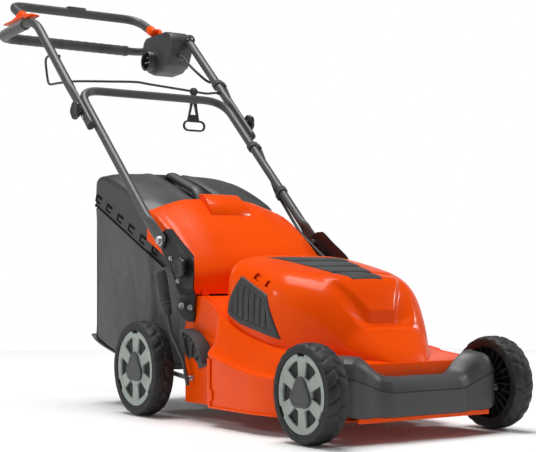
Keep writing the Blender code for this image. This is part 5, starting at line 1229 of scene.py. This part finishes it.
# Soft grip
# A moulded rubber sleeve pushed over the handle's right corner and rear bar, with a ring at each end.

# Moulded rubber: dark, matt, finely pitted
grip_look = plain("grip_rubber", (0.036, 0.037, 0.039), (0.056, 0.057, 0.06), (30, 3, 0.35, 0.7),
                  (900, 3, 0.7, 0.85), (900, 3, 0.0004, 0.5), sheen_weight=0.3)


def grip_size(along, length):
    """A slightly wavy sleeve, thicker at its two end rings."""
    ring = min(abs(along - 0.006), abs(length - along - 0.006)) < 0.006
    return (0.0148, 0.0148) if ring else (0.014 + 0.0003 * math.sin(along * 260), ) * 2


grip_path = cornered([(-UPPER_X, 1.25, 0.9427), (-UPPER_X, LOOP_Y, 0.938), (0.164, LOOP_Y, 0.938)], 0.05, 14)
settle(swept("handle_grip", finer(grip_path, 0.005), grip_size, 26, 0.15), grip_look, "upper_frame",
       "grip_rubber", ["handle_grip"], crease=40)

# Switch box
# A faceted two-part plastic housing clamped round the left tube, with a recessed mains inlet, a
# lock button in its rear, screws in its flank and a rubber gland where the cable leaves.

BOX_OUTLINE = ((1.352, 0.931), (1.346, 0.948), (1.33, 0.9595), (1.222, 0.96), (1.19, 0.948), (1.18, 0.93),
               (1.188, 0.895), (1.204, 0.866), (1.238, 0.85), (1.29, 0.848), (1.322, 0.86), (1.346, 0.89))


def box_finish():
    """Mid-grey moulding with a parting line where its halves meet, and an even spark grain."""
    made = Finish("box_moulding", coat_weight=0.05, coat_roughness=0.4)
    grain = made.noise(1000.0, 2.0)
    cloud = made.noise(18.0, 4.0)
    seam = abs(made.axis("X") - 0.205).spread(0.0003, 0.001)
    made.feed("Base Color", made.mixed(seam * 0.85 + cloud.spread(0.4, 0.7) * 0.15, (0.012, 0.012, 0.013),
                                       (0.046, 0.048, 0.05)))
    made.feed("Roughness", cloud.spread(0.3, 0.7, 0.42, 0.55))
    made.relief(seam + grain * 0.25, 0.0006, 0.6)
    return made.look


box_look = box_finish()
box = plate("switch_box", softened(BOX_OUTLINE, 0.006, 3), 0.07, ACROSS, (0.201, 0, 0), 0.0085)
INLET_AT = (1.283, 0.886)
BUTTON_AT = (0.192, 1.35, 0.908)
combined(box, turned("inlet_pocket", [(0.0284, 0.0), (0.0284, 0.03), (0.0001, 0.03)], (0.156, *INLET_AT),
                     (1, 0, 0), 40))
combined(box, turned("button_pocket", [(0.0092, -0.04), (0.0092, 0.08), (0.0001, 0.08)], BUTTON_AT,
                     (0, 1, 0), 24))
collar = turned("box_collar", [(0.0135, 0.0), (0.0165, 0.0), (0.0175, 0.002), (0.0175, 0.008),
                               (0.016, 0.0105), (0.0135, 0.011)], (UPPER_X, 1.1755, 0.9285), ALONG, 30,
                ring=True)
gland = turned("cable_gland", [(0.004, 0.0), (0.0062, 0.0), (0.0075, -0.003), (0.0068, -0.006),
                               (0.0055, -0.012), (0.004, -0.014)], (0.196, 1.1835, 0.885), (0, 1, 0), 20,
               ring=True)
box_parts = [box, turned("inlet_rim", [(0.0285, 0.0), (0.031, 0.0), (0.0322, 0.0015), (0.031, 0.003),
                                       (0.0285, 0.003)], (0.1662, *INLET_AT), (-1, 0, 0), 40, ring=True)]
for y, z in ((1.208, 0.944), (1.332, 0.94), (1.22, 0.868), (1.318, 0.876)):
    box_parts.append(turned("screw_well", [(0.0032, 0.0), (0.005, 0.0), (0.0054, 0.0006), (0.005, 0.0012),
                                           (0.0032, 0.0012)], (0.2356, y, z), (1, 0, 0), 20, ring=True))
settle(joined("switch_box", *box_parts), box_look, "upper_frame", "dark_plastic", ["switch_box"], crease=30)
settle(joined("box_collar", collar, gland), rubber, "upper_frame", "dark_plastic", crease=40)
inlet = turned("power_inlet", [(0.0278, 0.0), (0.0278, 0.034), (0.027, 0.0358), (0.0232, 0.0358),
                               (0.0221, 0.0345), (0.0218, 0.016), (0.014, 0.016), (0.0132, 0.0175),
                               (0.0001, 0.0175)], (0.1778, *INLET_AT), (-1, 0, 0), 48)
# Smooth black moulding, glossier in the bore
inlet_look = plain("inlet_moulding", (0.014, 0.014, 0.015), (0.03, 0.03, 0.031),
                   (80, 3, 0, 1), (80, 3, 0.3, 0.42), (1200, 2, 0.0001, 0.2))
settle(inlet, inlet_look, "upper_frame", "inlet_plastic", ["power_inlet"], crease=35)
pins = []
for y, z in about(INLET_AT, 0.009, 90, 330, 2):
    pins.append(turned("pin", [(0.0028, 0.0), (0.0028, 0.0125), (0.0018, 0.0145), (0.0001, 0.0148)],
                       (0.1608, y, z), (-1, 0, 0), 16))
settle(joined("inlet_pins", *pins), zinc, "upper_frame", "zinc_steel")
button = turned("lock_button", [(0.0078, -0.03), (0.008, 0.01), (0.0074, 0.0125), (0.0058, 0.0138),
                                (0.004, 0.0132), (0.0001, 0.0128)], BUTTON_AT, (0, 1, 0), 28)
settle(button, orange, "button", "orange_plastic", ["lock_button"])

# Start bail
# A grey loop over the rear bar that starts the motor when squeezed. Its ends turn in orange
# sockets on two orange ears, and a small pad marks its middle.

BAIL_X = 0.19
BAIL_EAR = (1.33, 0.977)
BAIL = [(-BAIL_X, *BAIL_EAR), (-BAIL_X, 1.427, 1.027), (BAIL_X, 1.427, 1.027), (BAIL_X, *BAIL_EAR)]


def socket_size(along, length):
    """A short cone, then a sleeve round the bail's end."""
    return (0.0124, 0.0131) if along > 0.01 else (0.01 + 0.22 * along, 0.0106 + 0.23 * along)


bail = swept("opc_bail", finer(cornered(BAIL, 0.045, 12), 0.012), (0.0115, 0.0122), 20, 0.3)
pad = block("bail_pad", (-0.027, 1.4155, 1.03), (0.027, 1.4385, 1.0425), 0.0022)
settle(joined("opc_bail", bail, pad), tube_look, "bail", "dark_plastic", ["opc_bail"], crease=40)
for side, label in SIDES:
    knots = [Vector((side * BAIL_X, 1.3215, 0.9725)), Vector((side * BAIL_X, 1.35, 0.9876))]
    socket = swept("bail_socket_" + label, finer(knots, 0.004), socket_size, 20, 0.3)
    pin = turned("pin", [(0.003, 0.0), (0.003, 0.0185), (0.0001, 0.0185)],
                 (side * BAIL_X, *BAIL_EAR), (side, 0, 0), 14)
    settle(joined("bail_socket_" + label, socket, pin), orange, "bail", "orange_plastic")

EAR_RIGHT = ((1.205, 0.9554), (1.246, 0.9554), (1.25, 0.9606), (1.385, 0.9606), (1.388, 0.974), (1.35, 0.979),
             (1.338, 0.9865), (1.322, 0.9865), (1.308, 0.979), (1.24, 0.97), (1.205, 0.9594))
SADDLE = ((1.205, 0.9554), (1.246, 0.9554), (1.25, 0.9606), (1.385, 0.9606), (1.386, 0.9654), (1.24, 0.9656),
          (1.205, 0.9594))
EAR_LEFT = ((1.3, 0.9604), (1.344, 0.9604), (1.342, 0.982), (1.336, 0.9865), (1.322, 0.9865), (1.312, 0.982))
ear = plate("bail_bracket_right", EAR_RIGHT, 0.008, ACROSS, (-0.2039, 0, 0), 0.0016)
saddle = plate("saddle", SADDLE, 0.026, ACROSS, (-0.2129, 0, 0), 0.0014)
settle(joined("bail_bracket_right", ear, saddle), orange, "upper_frame", "orange_plastic",
       ["bail_bracket_right"])
settle(plate("bail_bracket_left", EAR_LEFT, 0.008, ACROSS, (0.2039, 0, 0), 0.0016), orange, "upper_frame",
       "orange_plastic", ["bail_bracket_left"])

# Rear flap
# The sprung orange flap over the mouth: a pressed skin with turned-down sides and a trapezoid
# finger hold at its rear edge. It turns on a rod across the deck's rear edge.

FLAP_HALF = 0.1745
LID_FRONT = 0.5004
LID_EDGE = ((LID_FRONT, 0.268), (0.59, 0.306), (0.93, 0.46))
FLAP_LINE = [(0.0, 0.4785, 0.256, 0.0), (0.1, 0.4775, 0.285, 0.001), (0.18, 0.4795, 0.308, 0.003),
             (0.28, 0.4965, 0.3335, 0.01), (0.42, 0.53, 0.366, 0.018), (0.57, 0.57, 0.402, 0.028),
             (0.72, 0.61, 0.434, 0.038), (0.86, 0.645, 0.456, 0.046), (1.0, 0.672, 0.467, 0.052)]
# Across the flap: share of its half width, and fall from the centre line
FLAP_ARCH = ((0.0, 0.0), (0.4, 0.0008), (0.5, 0.0016), (0.62, 0.004), (0.745, 0.0072), (0.86, 0.01),
             (0.917, 0.012))
FLAP_Y, FLAP_Z, FLAP_DROP = ([(row[0], row[k]) for row in FLAP_LINE] for k in (1, 2, 3))
FLAP_COLUMNS, FLAP_ROWS = 60, 48


def flap_place(column, row):
    """Across the flap: its arched top, its rounded edges and its turned-down sides."""
    share = row / FLAP_ROWS
    y, z, drop = (flow(table, share) for table in (FLAP_Y, FLAP_Z, FLAP_DROP))
    across = (column - FLAP_COLUMNS / 2) / (FLAP_COLUMNS / 2)
    side, reach = math.copysign(1, across), abs(across)
    front = ease(share / 0.08)
    arch = 1 + 1.2 * ease((share - 0.3) / 0.6)
    if reach <= 0.8:
        part = reach / 0.8 * 0.917
        x, fall = FLAP_HALF * part, flow(FLAP_ARCH, part) * arch
    else:
        turn = (reach - 0.8) / 0.2
        edge = 0.018 * min(1, drop / 0.02 + 0.3)
        low = 0.02 + drop * 0.6
        part = min(1.0, turn / 0.5)
        x = FLAP_HALF * 0.917 + (FLAP_HALF * 0.083 - 0.002) * math.sin(part * math.pi / 2)
        edge += 0.012 * (arch - 1)
        low = max(low, edge + 0.008, (z - between(LID_EDGE, y) - 0.03) * ease((y - 0.5) / 0.05))
        fall = 0.012 * arch + (edge - 0.012 * arch) * (1 - math.cos(part * math.pi / 2))
        if turn > 0.5:
            down = (turn - 0.5) / 0.5
            x += 0.002 * down
            fall = edge + (low - edge) * down
    return (side * x, y, z - fall * front)


flap = formed("rear_flap", FLAP_COLUMNS, FLAP_ROWS, flap_place, inside=(0, 0.62, 0.33))
walled(flap, 0.0028)


def rod_finish():
    """Ground steel rod held in two feet moulded in the deck's orange."""
    made = Finish("hinge_rod")
    feet = abs(made.axis("X")).spread(0.1322, 0.133)
    lines = made.noise(400.0, 2.0)
    made.feed("Base Color", made.mixed(feet, (0.45, 0.46, 0.48), (0.93, 0.082, 0.0009)))
    made.feed("Metallic", 1 - feet)
    made.feed("Roughness", lines.spread(0.3, 0.7, 0.28, 0.38))
    made.relief(lines, 0.0001, 0.3)
    return made.look


dress(rod_finish(), "flap_hinge_rod")
barrel = turned("barrel", [(0.0061, -0.1175), (0.0061, 0.1175), (0.0036, 0.1175), (0.0036, -0.1175)],
                (0, 0.486, 0.2645), (1, 0, 0), 24, ring=True)
HOLD_OUTLINE = ((0.6, 0.4235), (0.6105, 0.448), (0.648, 0.4755), (0.677, 0.479), (0.677, 0.464),
                (0.64, 0.448))
hold = plate("finger_hold", HOLD_OUTLINE, 0.104, ACROSS, (0, 0, 0), 0.0026)
for corner in hold.data.vertices:
    corner.co.x *= 1 - 0.2 * min(1, max(0, (corner.co.y - 0.606) / 0.06))
settle(joined("rear_flap", flap, barrel, hold), orange, "flap", "orange_plastic", ["rear_flap"], crease=38)

# Grass collector
# A grey plastic lid with a carry handle and a row of clip slots, a fabric bag clipped under it,
# and a stiff dark plate under the bag. The lot hooks on behind the deck and lifts straight off.

LID_WIDE, LID_NARROW = 0.1735, 0.168
LID_CROWN = ((LID_FRONT, 0.292), (0.53, 0.326), (0.57, 0.37), (0.59, 0.39), (0.61, 0.408), (0.645, 0.434),
             (0.68, 0.456), (0.74, 0.486), (0.8, 0.511), (0.86, 0.531), (0.905, 0.5405), (0.922, 0.5405),
             (0.931, 0.536))


def grey_finish():
    """Mid-grey moulded plastic with a coarse leather grain."""
    made = Finish("lid_moulding", coat_weight=0.08, coat_roughness=0.4)
    voronoi = made.node("ShaderNodeTexVoronoi", {"feature": "SMOOTH_F1"},
                        {"Vector": made.place, "Scale": 420.0})
    cells = Signal(made, voronoi)
    cloud = made.noise(12.0, 4.0)
    tone = cloud.spread(0.35, 0.7) * 0.7 + cells.spread(0.1, 0.7) * 0.3
    made.feed("Base Color", made.mixed(tone, (0.034, 0.036, 0.036), (0.052, 0.054, 0.054)))
    made.feed("Roughness", cloud.spread(0.3, 0.7, 0.44, 0.56))
    made.relief(cells, 0.0004, 0.35)
    return made.look


def fabric_finish():
    """Plain woven polyester: two crossing threads, softly faded and dusted with grass."""
    made = Finish("bag_weave", sheen_weight=0.35)
    across = made.axis("X") + made.axis("Y")
    turns = 2 * math.pi * 620
    threads = across.wave(turns) * made.axis("Z").wave(turns)
    fade = made.noise(9.0, 5.0)
    fleck = made.noise(160.0, 5.0, (1, 1, 0.3))
    tone = fade.spread(0.3, 0.7) * 0.35 + fleck.spread(0.35, 0.65) * 0.5 + threads.spread(-1, 1) * 0.15
    made.feed("Base Color", made.mixed(tone, (0.012, 0.013, 0.013), (0.082, 0.084, 0.082)))
    made.feed("Roughness", fleck.spread(0.3, 0.7, 0.78, 0.92))
    made.relief(threads + fleck, 0.0003, 0.5)
    return made.look


grey = grey_finish()
LID_COLUMNS, LID_SECTIONS = 56, 60
LID_REAR = 0.931
lid_ys = [LID_FRONT + (LID_REAR - LID_FRONT) * (i / LID_SECTIONS) ** 0.92 for i in range(LID_SECTIONS + 1)]
# Rows of the lid's rear wall: y, share of the width and share of the height
LID_BACK = ((0.9355, 0.985, 0.97), (0.9385, 0.983, 0.9), (0.9392, 0.985, 0.5), (0.94, 0.988, 0.0))


def lid_place(column, row):
    """Sections of the lid, then its rear wall."""
    y = lid_ys[min(row, LID_SECTIONS)]
    crown, edge = flow(LID_CROWN, y), between(LID_EDGE, y)
    wide = LID_NARROW + (LID_WIDE - LID_NARROW) * ease((y - 0.655) / 0.02)
    fall = 0.022 + (0.006 - 0.022) * ease((y - 0.675) / 0.04)
    across = (column - LID_COLUMNS / 2) / (LID_COLUMNS / 2)
    side, reach = math.copysign(1, across), abs(across)
    if reach < 0.62:
        part = reach / 0.62
        x = (wide - 0.012) * part
        z = crown - flow(((0, 0), (0.5, 0.002), (0.82, 0.005), (1.0, 0.008 + fall / 2)), part)
        # A channel for the carry handle, between two long ridges that run forward from it
        rise = ease((y - 0.69) / 0.05) * ease((0.918 - y) / 0.015)
        channel, ridge = ease((0.04 - x) / 0.012), ease((x - 0.038) / 0.006) * ease((0.07 - x) / 0.02)
        z -= rise * (0.026 * channel - 0.002 * ridge)
    else:
        part = (reach - 0.62) / 0.38
        shoulder = max(crown - 0.016 - fall, edge + 0.012)
        top = crown - 0.008 - fall / 2
        if part < 0.3:
            turn = part / 0.3 * math.pi / 2
            x = wide - 0.012 + 0.01 * math.sin(turn)
            z = top - (top - shoulder) * (1 - math.cos(turn))
        else:
            down = (part - 0.3) / 0.7
            x = wide - 0.002 + 0.002 * down
            z = shoulder + (edge - shoulder) * down
            # The side bows in a little over the clip slots and ends in a rolled rim
            x -= 0.0016 * math.sin(math.pi * min(1.0, down / 0.86)) if down < 0.86 else 0.0
    if row > LID_SECTIONS:
        back_y, narrow, up = LID_BACK[row - LID_SECTIONS - 1]
        return (side * x * narrow, back_y, edge + (z - edge) * up)
    return (side * x, y, z)


lid = formed("collector_lid", LID_COLUMNS, LID_SECTIONS + len(LID_BACK), lid_place, inside=(0, 0.75, 0.38))
walled(lid, 0.0026)
# A bead along the lid's lower rim, at both sides and behind
rims = []
for side in (-1, 1):
    rail = []
    for i in range(25):
        y = 0.6 + 0.334 * i / 24
        rail.append(Vector((side * (LID_WIDE - 0.0006), y, between(LID_EDGE, y) + 0.0035)))
    rims.append(swept("rim", rail, 0.0026, 8))
back_rail = [Vector((-LID_WIDE + 0.003 + (2 * LID_WIDE - 0.006) * i / 12, 0.9385, 0.4635)) for i in range(13)]
rims.append(swept("rim", back_rail, 0.0022, 8))
settle(lid, grey, "collector", "grey_plastic", ["collector_lid"], crease=36)

# The clip slots: six C-shaped slots along each lower edge, each drawn as three near-black bars whose colour
# is painted shade in the openings. The bead along the lid's lower rim gets the same near-black finish, which
# hardly shines
slot_shade_and_bead_look = plain("slot_painted_shade_and_bead", (0.002, 0.002, 0.002), (0.006, 0.006, 0.006), (200, 3, 0, 1),
                  (200, 3, 0.5, 0.7), ior=1.15)
SLOT_BARS = ((-0.008, -0.0075, 0.017, -0.004), (0.0135, -0.0075, 0.017, 0.009), (-0.01, 0.005, 0.017, 0.009))
slot_lay = ACROSS @ Matrix.Rotation(math.atan2(0.154, 0.34), 4, "Z")
slots = []
for side in (-1, 1):
    for i in range(6):
        y = 0.636 + 0.056 * i
        seat = (side * (LID_WIDE - 0.001), y, between(LID_EDGE, y) + 0.02)
        for y0, z0, y1, z1 in SLOT_BARS:
            bar = [(y0, z0), (y1, z0), (y1, z1), (y0, z1)]
            slots.append(plate("slot", bar, 0.003, slot_lay, seat, 0.0004))
settle(joined("clip_slots", *slots, *rims), slot_shade_and_bead_look, "collector", "dark_plastic")

# The carry handle: a flattened arch with a hollow grip, on two feet
CARRY = [Vector((0, 0.724, 0.446)), Vector((0, 0.75, 0.49)), Vector((0, 0.884, 0.5385)),
         Vector((0, 0.903, 0.5))]
# Wide and thin over the hand, thicker at the feet
carry_size = flattened((0.0185, 0.0106), (0.015, 0.009), 0.0, 0.05)
carry = swept("collector_handle", finer(cornered(CARRY, 0.018, 8), 0.006), carry_size, 22, 0.4)
settle(carry, dark, "collector", "dark_plastic", ["collector_handle"], crease=45)

# The bag: a lofted fabric shell hung from the lid's edge, pulled in between its corners, with
# creases that run down from the clips and a hem at the plate
BAG_COLUMNS, BAG_SECTIONS, BAG_BACK_ROWS = 96, 56, 8
BAG_REAR = 0.926
BAG_FLOOR = ((LID_FRONT, 0.1), (0.59, 0.1), (0.62, 0.1), (0.74, 0.104), (0.84, 0.122), (BAG_REAR, 0.148))
bag_noise = random.Random(7)
creases = [(bag_noise.uniform(0.55, 0.92), bag_noise.uniform(-1.1, 0.9), bag_noise.uniform(0.005, 0.02),
            bag_noise.uniform(-0.0012, 0.0008)) for _ in range(12)]


def bag_side(y, z, low, high):
    """How far the fabric is drawn in from its widest, at a place on the side."""
    up = (z - low) / max(0.001, high - low)
    length = (y - LID_FRONT) / (BAG_REAR - LID_FRONT)
    drawn = 0.0085 * math.sin(math.pi * min(1, max(0, up))) * (0.35 + 0.65 * math.sin(math.pi * length))
    for middle, lean, width, depth in creases:
        away = (y - (middle + lean * (z - low) * 0.5)) / width
        drawn -= depth * math.exp(-away * away) * math.sin(math.pi * min(1, max(0, up)) * 0.9 + 0.2)
    return drawn


bag_ys = [LID_FRONT + (BAG_REAR - LID_FRONT) * i / BAG_SECTIONS for i in range(BAG_SECTIONS + 1)]


def bag_place(column, row):
    """Sections of the bag from side to side, then its rear panel."""
    y = bag_ys[min(row, BAG_SECTIONS)]
    low, high = flow(BAG_FLOOR, y), between(LID_EDGE, y) - 0.0006
    wide = LID_NARROW - 0.002 + (LID_WIDE - LID_NARROW) * ease((y - 0.655) / 0.02)
    across = (column - BAG_COLUMNS / 2) / (BAG_COLUMNS / 2)
    side, reach = math.copysign(1, across), abs(across)
    if reach < 0.34:
        x, z = (wide - 0.014) * reach / 0.34, low
    elif reach < 0.44:
        turn = (reach - 0.34) / 0.1 * math.pi / 2
        x, z = wide - 0.014 + 0.012 * math.sin(turn), low + 0.012 * (1 - math.cos(turn))
    else:
        up = (reach - 0.44) / 0.56
        z = low + 0.012 + (high - low - 0.012) * up
        x = wide - 0.002 + 0.002 * up - bag_side(y, z, low, high)
    if row > BAG_SECTIONS:
        step = (row - BAG_SECTIONS) / BAG_BACK_ROWS
        up = min(1.0, max(0.0, (z - low) / max(0.001, high - low)))
        bow = 0.004 * math.sin(math.pi * up) * (1 - (x / wide) ** 2)
        y = y + 0.0075 * math.sin(step * math.pi / 2) - bow * step
        return (side * x * (1 - 0.012 * step * step), y, z)
    return (side * x, y, z)


def back_panel_place(column, row):
    """The rear panel, drawn in between its edges and faintly rippled."""
    x, up = column / 30 - 1, math.sin(math.pi * row / 40)
    ripple = 0.0005 * math.sin(column * 0.45 + row * 0.12) * up
    return (0.1695 * x, 0.9335 - 0.0045 * up * (1 - x ** 2) - ripple, 0.149 + (0.4575 - 0.149) * row / 40)


bag = formed("collector_bag", BAG_COLUMNS, BAG_SECTIONS + BAG_BACK_ROWS, bag_place, inside=(0, 0.72, 0.25))
back_panel = formed("bag_back", 60, 40, back_panel_place, inside=(0, 0.72, 0.25))
fabric = fabric_finish()
walled(bag, 0.0012)
walled(back_panel, 0.0012)
bag_cloth = settle(joined("collector_bag", bag, back_panel), fabric, "collector", "bag_fabric",
                   ["collector_bag"], crease=50)

# The bag's seams: a piped edge down each rear corner and along the plate
seams = []
for side in (-1, 1):
    corner_seam = [Vector((side * (0.17 - 0.006 * math.sin(math.pi * i / 20)), 0.9325, 0.15 + 0.306 * i / 20))
                   for i in range(21)]
    seams.append(swept("seam", corner_seam, 0.0018, 8))
    floor_seam = [Vector((side * 0.166, y, flow(BAG_FLOOR, y) + 0.0045)) for y in bag_ys[::3]]
    seams.append(swept("seam", floor_seam, 0.0016, 8))
piping = settle(joined("bag_seams", *seams), fabric, "collector", "bag_fabric")

# The bottom plate: a thin tray whose rear edge turns up past the bag, with ribs below
PLATE_LINE = ((0.62, 0.0955), (0.74, 0.0995), (0.84, 0.1174), (0.926, 0.1434), (0.944, 0.15), (0.962, 0.16))


def bottom_place(column, row):
    """The tray's skin, with a low rib at every fourth column."""
    y = 0.62 + (0.962 - 0.62) * row / 40
    x = (0.1612 + 0.0088 * ease((y - 0.84) / 0.08)) * (column / 16 - 1)
    rib = 0.0008 if column % 4 == 0 else 0.0
    return (x, y, flow(PLATE_LINE, y) - rib)


bottom = formed("collector_bottom", 32, 40, bottom_place)
walled(bottom, 0.0046, 0.0)
bevelled(bottom, 0.001, 60)
settle(bottom, dark, "collector", "dark_plastic", ["collector_bottom"], crease=35)

# Cord guide
# A black coated wire from the right upper tube across to the left one. A hanging retainer for the
# extension cord slides on it.


def smoothed(knots, steps=6):
    """A smooth curve through the knots."""
    knots = [Vector(knot) for knot in knots]
    ends = [knots[0] * 2 - knots[1]] + knots + [knots[-1] * 2 - knots[-2]]
    path = []
    for a, b, c, d in zip(ends, ends[1:], ends[2:], ends[3:]):
        for i in range(steps):
            t = i / steps
            path.append(0.5 * (2 * b + (c - a) * t + (2 * a - 5 * b + 4 * c - d) * t ** 2
                               + (3 * b - a - 3 * c + d) * t ** 3))
    path.append(knots[-1])
    return path


def guide_at(x):
    """A place on the straight stretch of the wire."""
    return (x, 0.996, 0.7745 - 0.065 * (x + 0.035))


# Black dipped coat over wire, worn to grey where the retainer rubs
wire_look = plain("wire_coat", (0.018, 0.018, 0.019), (0.06, 0.06, 0.062), (70, 4, 0.5, 0.75),
                  (70, 4, 0.35, 0.5), (800, 2, 0.0001, 0.3), coat_weight=0.2, coat_roughness=0.35)
# The wire's hook beside the right tube, as (y, z), then its run across
WIRE_HOOK = ((1.072, 0.8315), (1.106, 0.8425), (1.141, 0.844), (1.1525, 0.84), (1.155, 0.829), (1.148, 0.802),
             (1.1405, 0.782), (1.133, 0.7745), (1.121, 0.7715), (1.088, 0.7695))
guide_knots = [(-0.2045, y, z) for y, z in WIRE_HOOK]
guide_knots += [(-0.2005, 1.04, 0.7665), (-0.178, 1.012, 0.767), (-0.11, 0.998, 0.77)]
guide_knots += [guide_at(x) for x in (-0.035, 0.0, 0.06, 0.12, 0.165)]
guide_knots += [(0.19, 0.999, 0.765), on_handle(0.128, 0.2067)]
guide = swept("cord_guide", smoothed(guide_knots, 5), 0.003, 12)
feet = [turned("foot", [(0.0036, 0.0), (0.005, 0.0), (0.0056, 0.002), (0.005, 0.004), (0.0036, 0.004)],
               on_handle(0.128, 0.2025), (1, 0, 0), 16, ring=True),
        block("foot", (-0.2085, 1.066, 0.8265), (-0.2035, 1.08, 0.8375), 0.0012)]
settle(joined("cord_guide", guide, *feet), wire_look, "upper_frame", "wire_black", ["cord_guide"], crease=45)
dress(rubber, "cord_retainer")

# Power cable
# The black cable from the switch box to the motor, held to the left tubes by three clips. It is
# made in three lengths that meet end to end at the handle's two folds.

# Black rubber jacket, slightly shiny, with a faint drawn texture
jacket = plain("cable_jacket", (0.014, 0.014, 0.014), (0.028, 0.028, 0.029),
               (110, 3, 0.3, 0.7), (110, 3, 0.45, 0.6), (900, 2, 0.0001, 0.3))


def through(along, x, out=0.0):
    """Four places that lead a cable straight through its clip."""
    return [on_handle(along + step, x, out) for step in (0.018, 0.008, -0.008, -0.018)]


UPPER_CLIP_X, LOWER_CLIP_X = 0.237, 0.2175
FOLD_X, FOLD_OUT = 0.2275, -0.0175
UNDER, PIVOT_X = -0.0175, 0.1795
cable_upper = [(0.196, 1.19, 0.885), (0.196, 1.18, 0.885), (0.196, 1.17, 0.885), (0.197, 1.146, 0.864),
               (0.204, 1.112, 0.836), (0.222, 1.082, 0.808), (0.236, 1.062, 0.806),
               *through(0.165, UPPER_CLIP_X), on_handle(0.08, FOLD_X + 0.007, FOLD_OUT + 0.006)]
cable_upper += [on_handle(along, FOLD_X, FOLD_OUT) for along in (0.03, -0.02, -0.0452)]
cable_middle = [on_handle(-0.0455, FOLD_X, FOLD_OUT), on_handle(-0.055, FOLD_X, FOLD_OUT),
                on_handle(-0.067, FOLD_X - 0.003, FOLD_OUT + 0.002), *through(-0.102, LOWER_CLIP_X),
                on_handle(-0.17, 0.214, UNDER + 0.008), on_handle(-0.22, 0.206, UNDER + 0.002),
                *through(-0.275, LOWER_X, UNDER), (0.192, 0.64, 0.418), (0.182, 0.598, 0.3915),
                (PIVOT_X, 0.5706, 0.3744), (PIVOT_X, 0.5586, 0.3672), (PIVOT_X, 0.5486, 0.3612)]
cable_hood = [(PIVOT_X, 0.5482, 0.3609), (PIVOT_X, 0.5382, 0.3549), (PIVOT_X, 0.515, 0.341),
              (PIVOT_X, 0.47, 0.316), (PIVOT_X, 0.43, 0.296), (0.1852, 0.406, 0.2804),
              (0.1724, 0.39, 0.2748), (0.1612, 0.376, 0.2699), (0.15, 0.362, 0.265)]
cable_runs = (("cable_upper", "upper_frame", cable_upper), ("cable_middle", "lower_frame", cable_middle),
              ("cable_hood", "chassis", cable_hood))
for name, body, knots in cable_runs:
    settle(swept(name, smoothed(knots, 5), 0.0035, 14, 0.08), jacket, body, "cable_black", [name], crease=50)
hood_gland = turned("hood_gland", [(0.0038, -0.004), (0.0062, -0.004), (0.007, 0.0), (0.0062, 0.006),
                                   (0.005, 0.01), (0.0038, 0.01)],
                    (0.157, 0.3708, 0.2681), (0.016, 0.02, 0.007), 20, ring=True)
settle(hood_gland, rubber, "chassis", "grip_rubber")

# The clips: a C round the tube with a boxy jaw over the cable
CLIP_FRAME = Matrix(((1, 0, 0, 0), (0, OUT.y, -ALONG.y, 0), (0, OUT.z, -ALONG.z, 0), (0, 0, 0, 1)))
# Each clip: place along the handle, tube's x and radius, where the cable lies from the tube, and body
CLIPS = (("cable_clip_upper", 0.165, UPPER_X, 0.011, (0.0185, 0), "upper_frame"),
         ("cable_clip_middle", -0.102, LOWER_X, 0.01, (0.0175, 0), "lower_frame"),
         ("cable_clip_lower", -0.275, LOWER_X, 0.01, (0, -0.0175), "lower_frame"))
for name, along, x, tube_radius, offset, body in CLIPS:
    tangent = math.degrees(math.atan2(offset[1], offset[0]))
    outer = about((0, 0), tube_radius + 0.003, tangent + 75, tangent + 285, 20)
    outer += about(offset, 0.0065, tangent - 80, tangent + 80, 10)
    clip = plate(name, outer, 0.014)
    for bore, place, steps in ((tube_radius + 0.0002, (0, 0, 0), 28), (0.0037, (*offset, 0), 16)):
        combined(clip, turned("bore", [(bore, -0.02), (bore, 0.02), (0.0001, 0.02)], place, steps=steps))
    bevelled(clip, 0.0005, 50, 1)
    clip.data.transform(Matrix.Translation(on_handle(along, x)) @ CLIP_FRAME)
    settle(clip, rubber, body, "dark_plastic", [name], crease=35)

low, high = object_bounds()
